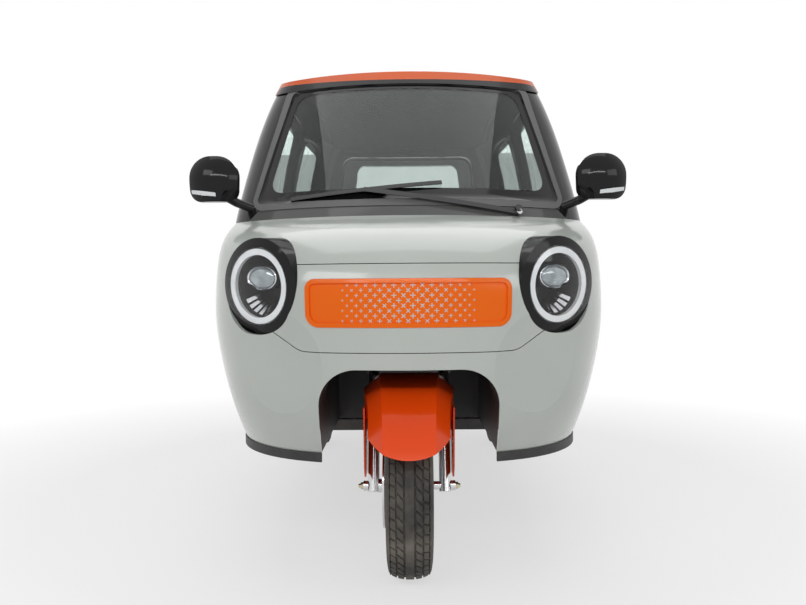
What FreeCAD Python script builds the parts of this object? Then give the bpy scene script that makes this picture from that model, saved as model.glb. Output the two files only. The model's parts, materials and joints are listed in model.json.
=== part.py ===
"""Enclosed electric tricycle: one steered front wheel, two driven rear wheels, a hollow two-door cabin.

Millimetres. The vehicle stands on z = 0 with its nose towards -Y, its left and right sides at -X and +X,
and its origin on the floor under the middle of its length. Places along the vehicle are given as distances
behind the front axle, which the function at() turns into Y.
"""
import FreeCAD
import Part
import math
import os

from FreeCAD import Vector

# Driving dimensions
FRONT_AXLE_Y = -930.0
WHEELBASE = 1620.0
WHEEL_RADIUS = 235.0
FRONT_TYRE_WIDTH = 118.0
REAR_TYRE_WIDTH = 125.0
RIM_RADIUS = 130.0
REAR_TRACK = 880.0

BODY_BOTTOM = 345.0
BELT = 955.0
GLASSHOUSE_TOP = 1600.0
ROOF_CROWN = 1560.0
ROOF_MIDDLE = 1250.0
ROOF_RADIUS_LENGTHWISE = 3100.0
ROOF_RADIUS_ACROSS = 2600.0
ROOF_THICKNESS = 22.0
ROOF_OVERHANG = 5.0
ROOF_SKIRT = 34.0

WALL = 30.0
NOSE_WALL = 10.0
GLASS = 5.0
GLASS_SET_BACK = 3.0
DOOR_GLASS_DEEPER = 4.0
SEAL_WIDTH = 20.0
SEAL_PROUD = 3.0
SEAL_DEPTH = 14.0
PANEL_GAP = 6.0
FIT = 0.3

# Horizontal outlines of the lower body: z, front and rear behind the front axle, half width
LOWER_SECTIONS = [
    (BODY_BOTTOM, -128.0, 2030.0, 500.0),
    (400.0, -160.0, 2052.0, 517.0),
    (480.0, -190.0, 2076.0, 539.0),
    (580.0, -208.0, 2092.0, 561.0),
    (700.0, -213.0, 2098.0, 575.0),
    (800.0, -200.0, 2094.0, 573.0),
    (880.0, -140.0, 2086.0, 563.0),
    (920.0, -72.0, 2079.0, 554.0),
    (BELT, 25.0, 2070.0, 543.0),
]
# The same for the glasshouse above the belt line
UPPER_SECTIONS = [
    (BELT, 25.0, 2070.0, 543.0),
    (1100.0, 135.0, 2042.0, 525.0),
    (1250.0, 248.0, 2003.0, 497.0),
    (1380.0, 346.0, 1957.0, 461.0),
    (1480.0, 422.0, 1912.0, 420.0),
    (GLASSHOUSE_TOP, 512.0, 1850.0, 352.0),
]
NOSE_RADIUS = 720.0
REAR_RADIUS = 2600.0
SIDE_RADIUS = 12000.0
FRONT_CORNER_RADIUS = 330.0
PILLAR_CORNER_RADIUS = 150.0
REAR_CORNER_RADIUS = 170.0
WIDEST = 1000.0
SHOULDER = 800.0

# Front arch and wheel well
ARCH_HALF_WIDTH = 222.0
ARCH_TOP = 566.0
ARCH_CORNER_RADIUS = 95.0
WELL_WALL = 5.0
WELL_REAR = 395.0
WELL_LIFT = 32.0
WELL_LIFT_FRONT = 10.0

# Steering
STEER_RAKE = 20.0
FORK_OFFSET = 32.0
FORK_SPACING = 190.0

# Doors, windows and tailgate, as distances behind the front axle and heights
DOOR_FRONT = 330.0
DOOR_REAR = 1175.0
DOOR_BOTTOM = 372.0
DOOR_TOP_FRONT = 655.0
DOOR_TOP = 1425.0
WINDOW_FRAME = 52.0
QUARTER_FRONT = 1250.0
QUARTER_REAR = 1740.0
WINDOW_SILL = 1000.0
WINDOW_TOP = 1385.0
TAILGATE_HALF_WIDTH = 425.0
TAILGATE_TOP_HALF_WIDTH = 322.0
TAILGATE_BOTTOM = 610.0
TAILGATE_TOP = 1416.0
WINDSCREEN_BOTTOM = 984.0
WINDSCREEN_BOTTOM_HALF_WIDTH = 462.0
WINDSCREEN_TOP = 1412.0
WINDSCREEN_TOP_HALF_WIDTH = 384.0
REAR_WINDOW_BOTTOM = 1040.0
REAR_WINDOW_BOTTOM_HALF_WIDTH = 300.0
REAR_WINDOW_TOP = 1380.0
REAR_WINDOW_TOP_HALF_WIDTH = 255.0
REAR_ARCH_RADIUS = 288.0
NOSE_END = DOOR_FRONT - PANEL_GAP
REAR_BUMPER_FRONT = 1960.0
REAR_SEAM = TAILGATE_BOTTOM - 40.0

# Reach of the cutting shapes, past the body's nose, tail, sides and middle
FRONT = -260.0
REAR = 2200.0
SIDE = 700.0
MIDDLE = 250.0
ARCH_REACH = 500.0
WINDSCREEN_REACH = 900.0
TAIL_REACH = 1500.0

# Chassis, as places across and behind the front axle and heights
RAIL_X = 270.0
RAIL_WIDTH = 40.0
RAIL_FRONT = 400.0
RAIL_REAR = 1985.0
RAIL_BOTTOM = 300.0
RAIL_TOP = 345.0
KICK_BOTTOM = 420.0
KICK_TOP = 460.0
POST_DEPTH = 45.0
POST_TOP = 660.0
SPRING_X = 293.0
SPRING_WIDTH = 44.0
LEAF = 8.0
AXLE_TUBE_RADIUS = 28.0
SPINDLE_RADIUS = 14.0
SPINDLE_FIT = 0.05
HUB_FACE = 372.0
DRUM_RADIUS = 92.0
DRUM_WIDTH = 28.0
GEAR_CASE_X = 40.0
MOTOR_RADIUS = 75.0
MOTOR_LENGTH = 190.0
DECK_FRONT = 1290.0
DECK_REAR = 2150.0
DECK_Z = 530.0
FLOOR_THICKNESS = 8.0
LINER = 5.0
LINER_INNER = 345.0
HEADSTOCK_RADIUS = 30.0
STEM_RADIUS = 16.0
HEADSTOCK_LOW = 372.0
HEADSTOCK_HIGH = 520.0
TOW_EYE_RADIUS = 11.0
TOW_EYE_BEHIND = 2100.0
TOW_HALF_WIDTH = 32.0
TOW_PLATE_LOW = 304.0
TOW_PLATE_HIGH = 316.0
PLATE_HOLE_RADIUS = 3.3
PLATE_HOLE_SPACING = 165.0
PLATE_HOLE_Z = 432.0

# Cabin
SEAT_STAND_FRONT = 670.0
SEAT_STAND_REAR = 1078.0
SEAT_STAND_TOP = 600.0
SEAT_STAND_TUBE = 28.0
SEAT_STAND_HALF_WIDTH = 290.0
SEAT_HALF_WIDTH = 285.0
BENCH_HALF_WIDTH = 400.0
DASHBOARD_HALF_WIDTH = 480.0


def at(behind_front_axle):
    """Y of a place given by its distance behind the front axle."""
    return FRONT_AXLE_Y + behind_front_axle


REAR_AXLE_Y = at(WHEELBASE)
ACROSS = Vector(1, 0, 0)
ARCH_INNER = 200.0


# Outlines and basic solids
def arc(a, b, c):
    return Part.Arc(a, b, c).toShape()


def box(x0, x1, y0, y1, z0, z1):
    return Part.makeBox(x1 - x0, y1 - y0, z1 - z0, Vector(x0, y0, z0))


def rounded_outline(corners, place):
    """Closed wire of lines and tangent arcs past corners of (u, v, radius); place makes a point of u, v."""
    count = len(corners)
    edges = []
    ends = []
    for i in range(count):
        u, v, radius = corners[i]
        here = Vector(u, v, 0)
        back = Vector(*corners[i - 1][:2], 0) - here
        ahead = Vector(*corners[(i + 1) % count][:2], 0) - here
        half = back.getAngle(ahead) / 2
        back.normalize()
        ahead.normalize()
        if radius <= 0:
            ends.append((here, None, here))
            continue
        reach = radius / math.tan(half)
        middle = (back + ahead).normalize()
        centre = here + middle * (radius / math.sin(half))
        ends.append((here + back * reach, centre - middle * radius, here + ahead * reach))
    for i in range(count):
        start, middle, end = ends[i]
        if middle is not None:
            edges.append(arc(place(start), place(middle), place(end)))
        following = ends[(i + 1) % count][0]
        if (following - end).Length > 1e-6:
            edges.append(Part.LineSegment(place(end), place(following)).toShape())
    return Part.Wire(edges)


def side_prism(corners, x0, x1):
    """Solid between x0 and x1, its outline seen from the side as (behind front axle, z, radius)."""
    wire = rounded_outline(corners, lambda p: Vector(x0, at(p.x), p.y))
    return Part.Face(wire).extrude(Vector(x1 - x0, 0, 0))


def front_prism(corners, y0, y1):
    """Solid from y0 to y1 behind the front axle, its outline seen from the front as (x, z, radius)."""
    wire = rounded_outline(corners, lambda p: Vector(p.x, at(y0), p.y))
    return Part.Face(wire).extrude(Vector(0, y1 - y0, 0))


def plan_prism(corners, z0, z1):
    """Solid between z0 and z1 with an outline seen from above: (x, behind front axle, radius)."""
    wire = rounded_outline(corners, lambda p: Vector(p.x, at(p.y), z0))
    return Part.Face(wire).extrude(Vector(0, 0, z1 - z0))


def tube(start, end, radius, bore=0.0):
    axis = end - start
    solid = Part.makeCylinder(radius, axis.Length, start, axis)
    if bore:
        solid = solid.cut(Part.makeCylinder(bore, axis.Length, start, axis))
    return solid


def bent_tube(points, radius, bend):
    """Round bar along straight runs joined by tangent arcs of one bend radius."""
    edges = []
    last = points[0]
    for before, here, after in zip(points, points[1:], points[2:]):
        back = (before - here).normalize()
        ahead = (after - here).normalize()
        half = back.getAngle(ahead) / 2
        reach = bend / math.tan(half)
        middle = (back + ahead).normalize()
        centre = here + middle * (bend / math.sin(half))
        start = here + back * reach
        end = here + ahead * reach
        edges.append(Part.LineSegment(last, start).toShape())
        edges.append(arc(start, centre - middle * bend, end))
        last = end
    edges.append(Part.LineSegment(last, points[-1]).toShape())
    path = Part.Wire(edges)
    section = Part.Wire(Part.makeCircle(radius, points[0], points[1] - points[0]))
    return path.makePipeShell([section], True, False)


def revolved(profile, centre, axis, sideways):
    """Solid of revolution. The profile is (along axis, radius) and turns about axis through centre."""
    points = [centre + axis * along + sideways * radius for along, radius in profile]
    face = Part.Face(Part.makePolygon(points + points[:1]))
    return face.revolve(centre, axis, 360)


def fused(shapes):
    whole = shapes[0]
    for shape in shapes[1:]:
        whole = whole.fuse(shape)
    return whole.removeSplitter()


def mirrored(shape):
    return shape.mirror(Vector(0, 0, 0), Vector(1, 0, 0))


def both_sides(shape):
    return [shape, mirrored(shape)]


NODES = {}


def node(name, *shapes):
    """Registers a node made of one or more separate solids."""
    solids = [s for shape in shapes for s in shape.Solids]
    NODES[name] = solids


# Body surfaces
def body_outline(z, front, rear, half_width, corner, inset):
    """Horizontal outline of eight arcs tangent to each other, moved inwards by inset."""
    nose = NOSE_RADIUS - inset
    side = SIDE_RADIUS - inset
    tail = REAR_RADIUS - inset
    nose_centre = Vector(0, at(front) + NOSE_RADIUS, z)
    side_centre = Vector(half_width - SIDE_RADIUS, at(WIDEST), z)
    tail_centre = Vector(0, at(rear) - REAR_RADIUS, z)

    def corner_arc(first, first_radius, second, second_radius, radius, sign):
        """Centre and tangent points of an arc inside two larger circles."""
        a = first_radius - radius
        b = second_radius - radius
        between = second - first
        d = between.Length
        along = (a * a - b * b + d * d) / (2 * d)
        off = math.sqrt(a * a - along * along)
        unit = between * (1 / d)
        across = Vector(-unit.y, unit.x, 0) * sign
        centre = first + unit * along + across * off
        start = first + (centre - first).normalize() * first_radius
        end = second + (centre - second).normalize() * second_radius
        out = (start - centre).normalize() + (end - centre).normalize()
        return start, centre + out.normalize() * radius, end

    f_start, f_mid, f_end = corner_arc(nose_centre, nose, side_centre, side, corner - inset, 1)
    r_end, r_mid, r_start = corner_arc(tail_centre, tail, side_centre, side, REAR_CORNER_RADIUS - inset, -1)

    def left(p):
        return Vector(-p.x, p.y, p.z)

    widest = Vector(half_width - inset, at(WIDEST), z)
    nose_tip = Vector(0, at(front) + inset, z)
    tail_tip = Vector(0, at(rear) - inset, z)
    return Part.Wire([
        arc(left(f_start), nose_tip, f_start),
        arc(f_start, f_mid, f_end),
        arc(f_end, widest, r_start),
        arc(r_start, r_mid, r_end),
        arc(r_end, tail_tip, left(r_end)),
        arc(left(r_end), left(r_mid), left(r_start)),
        arc(left(r_start), left(widest), left(f_end)),
        arc(left(f_end), left(f_mid), left(f_start)),
    ])


def corner_radius(z):
    """The front corner's radius shrinks from the nose to the windscreen pillar."""
    if z <= SHOULDER:
        return FRONT_CORNER_RADIUS
    share = min(1.0, (z - SHOULDER) / (BELT - SHOULDER))
    return FRONT_CORNER_RADIUS + (PILLAR_CORNER_RADIUS - FRONT_CORNER_RADIUS) * share


SURFACES = {}


def body_surface(sections, inset):
    key = (sections[0][0], inset)
    if key not in SURFACES:
        wires = [body_outline(*row, corner_radius(row[0]), inset) for row in sections]
        SURFACES[key] = Part.makeLoft(wires, True, False)
    return SURFACES[key]


def lower_body(inset):
    return body_surface(LOWER_SECTIONS, inset)


def glasshouse(inset):
    return body_surface(UPPER_SECTIONS, inset)


def crown(drop):
    """Everything under the doubly curved roof surface, lowered by drop."""
    axis_z = ROOF_CROWN - ROOF_RADIUS_LENGTHWISE
    radius = ROOF_RADIUS_ACROSS - drop
    top = ROOF_CROWN - drop
    reach = 700.0
    y = at(ROOF_MIDDLE)
    edge = top - radius + math.sqrt(radius * radius - reach * reach)
    low = BELT - 60.0
    over = arc(Vector(-reach, y, edge), Vector(0, y, top), Vector(reach, y, edge))
    rest = Part.makePolygon([Vector(reach, y, edge), Vector(reach, y, low), Vector(-reach, y, low),
                             Vector(-reach, y, edge)])
    face = Part.Face(Part.Wire([over] + rest.Edges))
    spread = 34.0
    centre = Vector(0, y, axis_z)
    face.rotate(centre, Vector(1, 0, 0), -spread)
    return face.revolve(centre, Vector(1, 0, 0), 2 * spread)


# Outlines of the doors, windows, arches and tailgate
def door_outline(grow):
    """Side outline of the door, grown outwards all round."""
    return [
        (DOOR_FRONT - grow, DOOR_BOTTOM - grow, 45.0),
        (DOOR_REAR + grow, DOOR_BOTTOM - grow, 60.0),
        (DOOR_REAR - 45.0 + grow, DOOR_TOP + grow, 70.0),
        (DOOR_TOP_FRONT - grow * 0.4, DOOR_TOP + grow, 60.0),
        (DOOR_FRONT - grow, BELT + 30.0, 90.0),
    ]


def door_window_outline(grow):
    frame = WINDOW_FRAME - grow
    return [
        (DOOR_FRONT + frame + 22.0, WINDOW_SILL - grow, 25.0),
        (DOOR_REAR - frame - 12.0, WINDOW_SILL - grow, 25.0),
        (DOOR_REAR - 42.0 - frame, DOOR_TOP - frame, 40.0),
        (DOOR_TOP_FRONT + 22.0 - grow * 0.4, DOOR_TOP - frame, 35.0),
    ]


def quarter_window_outline(grow):
    return [
        (QUARTER_FRONT - grow, WINDOW_SILL - grow, 30.0),
        (QUARTER_REAR + grow, WINDOW_SILL - grow, 40.0),
        (QUARTER_REAR - 75.0 + grow, WINDOW_TOP + grow, 60.0),
        (QUARTER_FRONT - 12.0 - grow, WINDOW_TOP + grow, 40.0),
    ]


def windscreen_outline(grow):
    low = WINDSCREEN_BOTTOM_HALF_WIDTH + grow
    high = WINDSCREEN_TOP_HALF_WIDTH + grow
    return [
        (-low, WINDSCREEN_BOTTOM - grow, 38.0 + grow),
        (low, WINDSCREEN_BOTTOM - grow, 38.0 + grow),
        (high, WINDSCREEN_TOP + grow, 45.0 + grow),
        (-high, WINDSCREEN_TOP + grow, 45.0 + grow),
    ]


def tailgate_outline(grow):
    return [
        (-TAILGATE_HALF_WIDTH - grow, TAILGATE_BOTTOM - grow, 50.0),
        (TAILGATE_HALF_WIDTH + grow, TAILGATE_BOTTOM - grow, 50.0),
        (TAILGATE_TOP_HALF_WIDTH + grow, TAILGATE_TOP + grow, 60.0),
        (-TAILGATE_TOP_HALF_WIDTH - grow, TAILGATE_TOP + grow, 60.0),
    ]


def rear_window_outline(grow):
    low = REAR_WINDOW_BOTTOM_HALF_WIDTH + grow
    high = REAR_WINDOW_TOP_HALF_WIDTH + grow
    return [
        (-low, REAR_WINDOW_BOTTOM - grow, 45.0),
        (low, REAR_WINDOW_BOTTOM - grow, 45.0),
        (high, REAR_WINDOW_TOP + grow, 45.0),
        (-high, REAR_WINDOW_TOP + grow, 45.0),
    ]


def arch_outline(grow, lift=0.0):
    top = ARCH_TOP + grow + lift
    return [
        (-ARCH_HALF_WIDTH - grow, BODY_BOTTOM - 200.0, 0),
        (ARCH_HALF_WIDTH + grow, BODY_BOTTOM - 200.0, 0),
        (ARCH_HALF_WIDTH + grow, top, ARCH_CORNER_RADIUS + grow),
        (-ARCH_HALF_WIDTH - grow, top, ARCH_CORNER_RADIUS + grow),
    ]


def rear_arch(grow, x0, x1):
    return Part.makeCylinder(REAR_ARCH_RADIUS + grow, x1 - x0, Vector(x0, REAR_AXLE_Y, WHEEL_RADIUS), ACROSS)


def door_spaces():
    """What both doors and the gaps round them take out of the body."""
    return both_sides(side_prism(door_outline(PANEL_GAP), MIDDLE, SIDE))


def arch_spaces():
    return both_sides(rear_arch(0, ARCH_INNER, SIDE))


def gate_space():
    return front_prism(tailgate_outline(PANEL_GAP), TAIL_REACH, REAR)


# Headlamps are domed pods on axes that look outwards and a little down
LAMP_X = 376.0
LAMP_BEHIND_AXLE = -92.0
LAMP_Z = 768.0
LAMP_YAW = 33.0
LAMP_DROP = 3.0
LAMP_RADIUS = 122.0
LAMP_SLEEVE = 96.0
LAMP_DOME_RADIUS = 330.0
LAMP_WALL = 4.0
LAMP_OPENING = 99.0
LAMP_BOWL_DEPTH = 74.0
LENS_THICKNESS = 3.0
LAMP_RING_INNER = 79.0
LAMP_RING_FRONT = 4.0
LAMP_RING_DEPTH = 10.0
PROJECTOR_HALF_WIDTH = 50.0
PROJECTOR_HALF_HEIGHT = 30.0
PROJECTOR_RISE = 20.0
PROJECTOR_SINK = 14.0

LAMP_AXIS = Vector(
    math.sin(math.radians(LAMP_YAW)) * math.cos(math.radians(LAMP_DROP)),
    -math.cos(math.radians(LAMP_YAW)) * math.cos(math.radians(LAMP_DROP)),
    -math.sin(math.radians(LAMP_DROP)),
)
LAMP_SIDE = Vector(0, 0, 1).cross(LAMP_AXIS).normalize()
LAMP_UP = LAMP_AXIS.cross(LAMP_SIDE)
LAMP_CENTRE = Vector(LAMP_X, at(LAMP_BEHIND_AXLE), LAMP_Z)


def lamp_cylinder(radius, inwards=130.0, outwards=160.0):
    start = LAMP_CENTRE - LAMP_AXIS * inwards
    return Part.makeCylinder(radius, inwards + outwards, start, LAMP_AXIS)


def lamp_dome(radius, sink=0.0):
    """Height of the domed front above the lamp's rim, at a distance from its axis."""
    rim = math.sqrt(LAMP_DOME_RADIUS ** 2 - LAMP_RADIUS ** 2)
    return math.sqrt((LAMP_DOME_RADIUS - sink) ** 2 - radius ** 2) - rim


def lamp_point(along, radius):
    return LAMP_CENTRE + LAMP_AXIS * along + LAMP_SIDE * radius


def lamp_lines(*points):
    """Straight edges through points given as (along the lamp's axis, radius)."""
    return Part.makePolygon([lamp_point(*point) for point in points]).Edges


def dome_arc(start, end, sink=0.0):
    radii = (start, (start + end) / 2, end)
    return arc(*[lamp_point(lamp_dome(radius, sink), radius) for radius in radii])


def lamp_turned(edges):
    return Part.Face(Part.Wire(edges)).revolve(LAMP_CENTRE, LAMP_AXIS, 360)


# Nose panel between the lamps, with a dished grille plate let into it
SEAM = 2.0
NOSE_PANEL_REAR = 120.0
GRILLE_RIM = 11.0
GRILLE_RIM_PROUD = 2.0
GRILLE_DISH = 2.5
GRILLE_BACK = 8.0


def nose_panel_outline(grow):
    return [
        (-415.0, 820.0 + grow, 0),
        (-415.0, 705.0 - grow, 40.0),
        (-268.0 - grow * 0.4, 608.0 - grow, 60.0),
        (268.0 + grow * 0.4, 608.0 - grow, 60.0),
        (415.0, 705.0 - grow, 40.0),
        (415.0, 820.0 + grow, 0),
    ]


def grille_outline(grow):
    return [
        (-249.0 - grow, 668.0 - grow, 34.0 + grow),
        (249.0 + grow, 668.0 - grow, 34.0 + grow),
        (252.0 + grow, 785.0 + grow, 24.0 + grow),
        (-252.0 - grow, 785.0 + grow, 24.0 + grow),
    ]


# Door hinges stand on an upright axis just ahead of the door
DOOR_HINGE_Z = (620.0, 840.0)
HINGE_X = 542.0
HINGE_BEHIND = 308.0
HINGE_RADIUS = 8.0
HINGE_PIN = 4.0
HINGE_KNUCKLE = 28.0
HINGE_EAR = 15.0
PIN_FIT = 0.05


def hinge_point(z):
    return Vector(HINGE_X, at(HINGE_BEHIND), z)


# The tailgate hinges lie along its upper edge
GATE_HINGE_BEHIND = 1930.0
GATE_HINGE_Z = 1429.0
GATE_HINGE_X = (-180.0, 180.0)
GATE_HINGE_RADIUS = 7.0
GATE_KNUCKLE = 36.0


def gate_point(x):
    return Vector(x, at(GATE_HINGE_BEHIND), GATE_HINGE_Z)


# Shallow round scoops in the bumper's corners, cut by large spheres
SCOOP_X = 322.0
SCOOP_Z = 508.0
SCOOP_SURFACE = -116.0
SCOOP_RADIUS = 600.0
SCOOP_DEPTH = 14.0


def scoops(grow):
    """Spheres that hollow the bumper's corners, grown to follow the inside of the wall."""
    lean = math.asin(SCOOP_X / NOSE_RADIUS)
    out = Vector(math.sin(lean), -math.cos(lean), 0)
    centre = Vector(SCOOP_X, at(SCOOP_SURFACE), SCOOP_Z) + out * (SCOOP_RADIUS - SCOOP_DEPTH)
    return both_sides(Part.makeSphere(SCOOP_RADIUS + grow, centre))


def make_front_body():
    nose = lower_body(0).cut(scoops(0)).cut(lower_body(NOSE_WALL).cut(scoops(NOSE_WALL)))
    nose = nose.common(box(-SIDE, SIDE, at(FRONT), at(NOSE_END), BODY_BOTTOM, BELT))
    lamps = both_sides(lamp_cylinder(LAMP_RADIUS + FIT))
    shell = nose.cut([front_prism(nose_panel_outline(SEAM), FRONT, NOSE_PANEL_REAR)] + lamps)
    shell = shell.cut([front_prism(arch_outline(0), FRONT, ARCH_REACH)] + door_spaces())
    slots = []
    knuckles = []
    for z in DOOR_HINGE_Z:
        half = HINGE_KNUCKLE / 2
        reach = half + 2.0
        slots.append(box(HINGE_X - 30.0, SIDE, at(HINGE_BEHIND - 13.0), at(NOSE_END), z - reach, z + reach))
        for low in (z - half - HINGE_EAR - 1.0, z + half + 1.0):
            high = low + HINGE_EAR
            knuckles.append(tube(hinge_point(low), hinge_point(high), HINGE_RADIUS))
            knuckles.append(box(HINGE_X - HINGE_PIN, HINGE_X + 5.0, at(HINGE_BEHIND - 14.0), at(HINGE_BEHIND),
                                low, high))
        knuckles.append(tube(hinge_point(z - half - 5.0), hinge_point(z + half + 5.0), HINGE_PIN))
    shell = shell.cut(slots + [mirrored(slot) for slot in slots])
    right = fused(knuckles)
    node("front_shell", fused([shell, right, mirrored(right)]))
    panel = nose.common(front_prism(nose_panel_outline(0), FRONT, NOSE_PANEL_REAR)).cut(lamps)
    node("nose_panel", panel.cut(front_prism(grille_outline(FIT), FRONT, 200.0)))
    plate = lower_body(-GRILLE_RIM_PROUD).cut(lower_body(GRILLE_BACK))
    dish = lower_body(-GRILLE_RIM_PROUD - 2.0).cut(lower_body(GRILLE_DISH))
    dish = dish.common(front_prism(grille_outline(-GRILLE_RIM), FRONT, 200.0))
    node("grille_insert", plate.common(front_prism(grille_outline(0), FRONT, 200.0)).cut(dish))


def make_headlamps():
    bowl = LAMP_OPENING - LAMP_WALL
    edge = LAMP_OPENING - FIT
    ledge = lamp_dome(edge, LENS_THICKNESS) - FIT
    back = -LAMP_BOWL_DEPTH
    outline = [dome_arc(LAMP_OPENING, LAMP_RADIUS)]
    outline += lamp_lines(
        (0, LAMP_RADIUS), (-LAMP_SLEEVE, LAMP_RADIUS), (-LAMP_SLEEVE, LAMP_RADIUS - LAMP_WALL),
        (-LAMP_WALL, LAMP_RADIUS - LAMP_WALL), (-LAMP_WALL, LAMP_OPENING), (back - LAMP_WALL, LAMP_OPENING),
        (back - LAMP_WALL, 0), (back, 0), (back, bowl), (ledge, bowl), (ledge, LAMP_OPENING),
        (lamp_dome(LAMP_OPENING), LAMP_OPENING))
    housing = lamp_turned(outline)
    wide, high = PROJECTOR_HALF_WIDTH, PROJECTOR_HALF_HEIGHT
    foot = lamp_point(back - LAMP_WALL / 2, 0) + LAMP_UP * PROJECTOR_RISE
    oval = rounded_outline([(-wide, -high, high - 1), (wide, -high, high - 1), (wide, high, high - 1),
                            (-wide, high, high - 1)], lambda p: foot + LAMP_SIDE * p.x + LAMP_UP * p.y)
    barrel = Part.Face(oval).extrude(LAMP_AXIS * (LAMP_BOWL_DEPTH + LAMP_WALL / 2 - PROJECTOR_SINK))
    node("headlamps", *both_sides(housing.fuse(barrel)))
    lens = lamp_turned([dome_arc(0, edge)]
                       + lamp_lines((lamp_dome(edge), edge), (lamp_dome(edge, LENS_THICKNESS), edge))
                       + [dome_arc(edge, 0, LENS_THICKNESS)]
                       + lamp_lines((lamp_dome(0, LENS_THICKNESS), 0), (lamp_dome(0), 0)))
    node("headlamp_lenses", *both_sides(lens))
    ring = tube(lamp_point(LAMP_RING_FRONT - LAMP_RING_DEPTH, 0), lamp_point(LAMP_RING_FRONT, 0), bowl - FIT,
                LAMP_RING_INNER)
    node("headlamp_rings", *both_sides(ring))


REBATE_DEPTH = 12.0
REBATE_OVERLAP = 18.0


def make_rebate():
    """Flange behind the door's edge, that the door closes against."""
    inset = WALL + FIT
    ring = side_prism(door_outline(REBATE_OVERLAP + 10.0), MIDDLE, SIDE)
    ring = ring.cut(side_prism(door_outline(-REBATE_OVERLAP), MIDDLE - 10.0, SIDE + 10.0))
    floor_top = BODY_BOTTOM + FLOOR_THICKNESS
    ring = ring.common(box(MIDDLE, SIDE, at(FRONT), at(REAR), floor_top, GLASSHOUSE_TOP))
    low = lower_body(inset).cut(lower_body(inset + REBATE_DEPTH)).common(ring)
    high = glasshouse(WALL).cut(glasshouse(inset + REBATE_DEPTH)).common(crown(ROOF_THICKNESS)).common(ring)
    high = high.cut(door_spaces()[0].common(glasshouse(0).cut(glasshouse(inset))))
    return low.fuse(high)


def make_glasshouse():
    walls = glasshouse(0).cut(glasshouse(WALL)).common(crown(ROOF_THICKNESS))
    opening = front_prism(windscreen_outline(0), FRONT, WINDSCREEN_REACH)
    quarters = side_prism(quarter_window_outline(0), -SIDE, SIDE)
    frame = walls.cut([opening, quarters, gate_space()] + door_spaces())
    split = 340.0
    side = frame.common(box(split, SIDE, at(FRONT), at(REAR), BELT, GLASSHOUSE_TOP))
    node("side_frames", *both_sides(fused([side, make_rebate()])))
    header = frame.common(box(-split, split, at(FRONT), at(REAR), BELT, GLASSHOUSE_TOP))
    for x in GATE_HINGE_X:
        half = GATE_KNUCKLE / 2
        header = header.cut(box(x - half - 1.0, x + half + 1.0, at(GATE_HINGE_BEHIND - 14.0),
                                at(GATE_HINGE_BEHIND + 20.0), TAILGATE_TOP, GATE_HINGE_Z))
        header = header.cut(tube(gate_point(x - half - 1.0), gate_point(x + half + 1.0),
                                 GATE_HINGE_RADIUS + 2.0))
        for low in (x - half - 16.0, x + half + 1.0):
            header = header.fuse(tube(gate_point(low), gate_point(low + 15.0), GATE_HINGE_RADIUS))
        header = header.fuse(tube(gate_point(x - half - 5.0), gate_point(x + half + 5.0), HINGE_PIN))
    node("roof_headers", header)

    ring = opening.cut(front_prism(windscreen_outline(-SEAL_WIDTH), FRONT - 10.0, WINDSCREEN_REACH + 10.0))
    seal = glasshouse(-SEAL_PROUD).cut(glasshouse(SEAL_DEPTH)).common(ring)
    node("windscreen_seal", seal.common(crown(ROOF_SKIRT + FIT)))
    pane = glasshouse(GLASS_SET_BACK).cut(glasshouse(GLASS_SET_BACK + GLASS))
    node("windscreen", pane.common(front_prism(windscreen_outline(-SEAL_WIDTH), FRONT, WINDSCREEN_REACH)))
    quarter = pane.common(side_prism(quarter_window_outline(0), MIDDLE, SIDE))
    node("quarter_windows", *both_sides(quarter))


def make_roof():
    outside = glasshouse(-ROOF_OVERHANG).common(crown(0))
    inside = glasshouse(0).common(crown(ROOF_THICKNESS))
    node("roof_panel", outside.cut([crown(ROOF_SKIRT), inside]))


def make_doors():
    lower = lower_body(0).cut(lower_body(WALL))
    upper = glasshouse(0).cut(glasshouse(WALL)).common(crown(ROOF_THICKNESS))
    outline = side_prism(door_outline(0), MIDDLE, SIDE)
    opening = side_prism(door_window_outline(0), MIDDLE, SIDE)
    panel = lower.common(outline)
    for z in DOOR_HINGE_Z:
        half = HINGE_KNUCKLE / 2
        leaf = tube(hinge_point(z - half), hinge_point(z + half), HINGE_RADIUS)
        arm = box(HINGE_X - 7.0, HINGE_X + 5.0, at(HINGE_BEHIND), at(DOOR_FRONT + 4.0), z - half, z + half)
        bore = tube(hinge_point(z - half - 1), hinge_point(z + half + 1), HINGE_PIN + PIN_FIT)
        panel = panel.fuse(leaf.fuse(arm).cut(bore))
    frame = upper.common(outline).cut(opening)
    outside = GLASS_SET_BACK + DOOR_GLASS_DEEPER
    pane = glasshouse(outside).cut(glasshouse(outside + GLASS)).common(opening)
    for side, turn in (("right", lambda s: s), ("left", mirrored)):
        node("door_panel_" + side, turn(panel))
        node("door_frame_" + side, turn(frame))
        node("door_window_" + side, turn(pane))


def make_rear_body():
    lower = lower_body(0).cut(lower_body(WALL))
    tail = lower.common(box(-SIDE, SIDE, at(NOSE_END), at(REAR), BODY_BOTTOM, BELT))
    tail = tail.cut(door_spaces() + arch_spaces() + [gate_space()])
    sill_end = DOOR_REAR + PANEL_GAP
    sills = tail.common(box(-SIDE, SIDE, at(NOSE_END), at(sill_end), BODY_BOTTOM, DOOR_BOTTOM))
    quarter = tail.common(box(0, SIDE, at(sill_end), at(REAR), BODY_BOTTOM, BELT))
    quarter = quarter.cut(box(0, SIDE, at(REAR_BUMPER_FRONT), at(REAR), BODY_BOTTOM, REAR_SEAM))
    node("quarter_panels", *both_sides(quarter))
    apron = tail.common(box(-SIDE, SIDE, at(REAR_BUMPER_FRONT), at(REAR), BODY_BOTTOM, REAR_SEAM))
    node("lower_panels", *(both_sides(max(sills.Solids, key=lambda s: s.CenterOfMass.x)) + [apron]))


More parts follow.
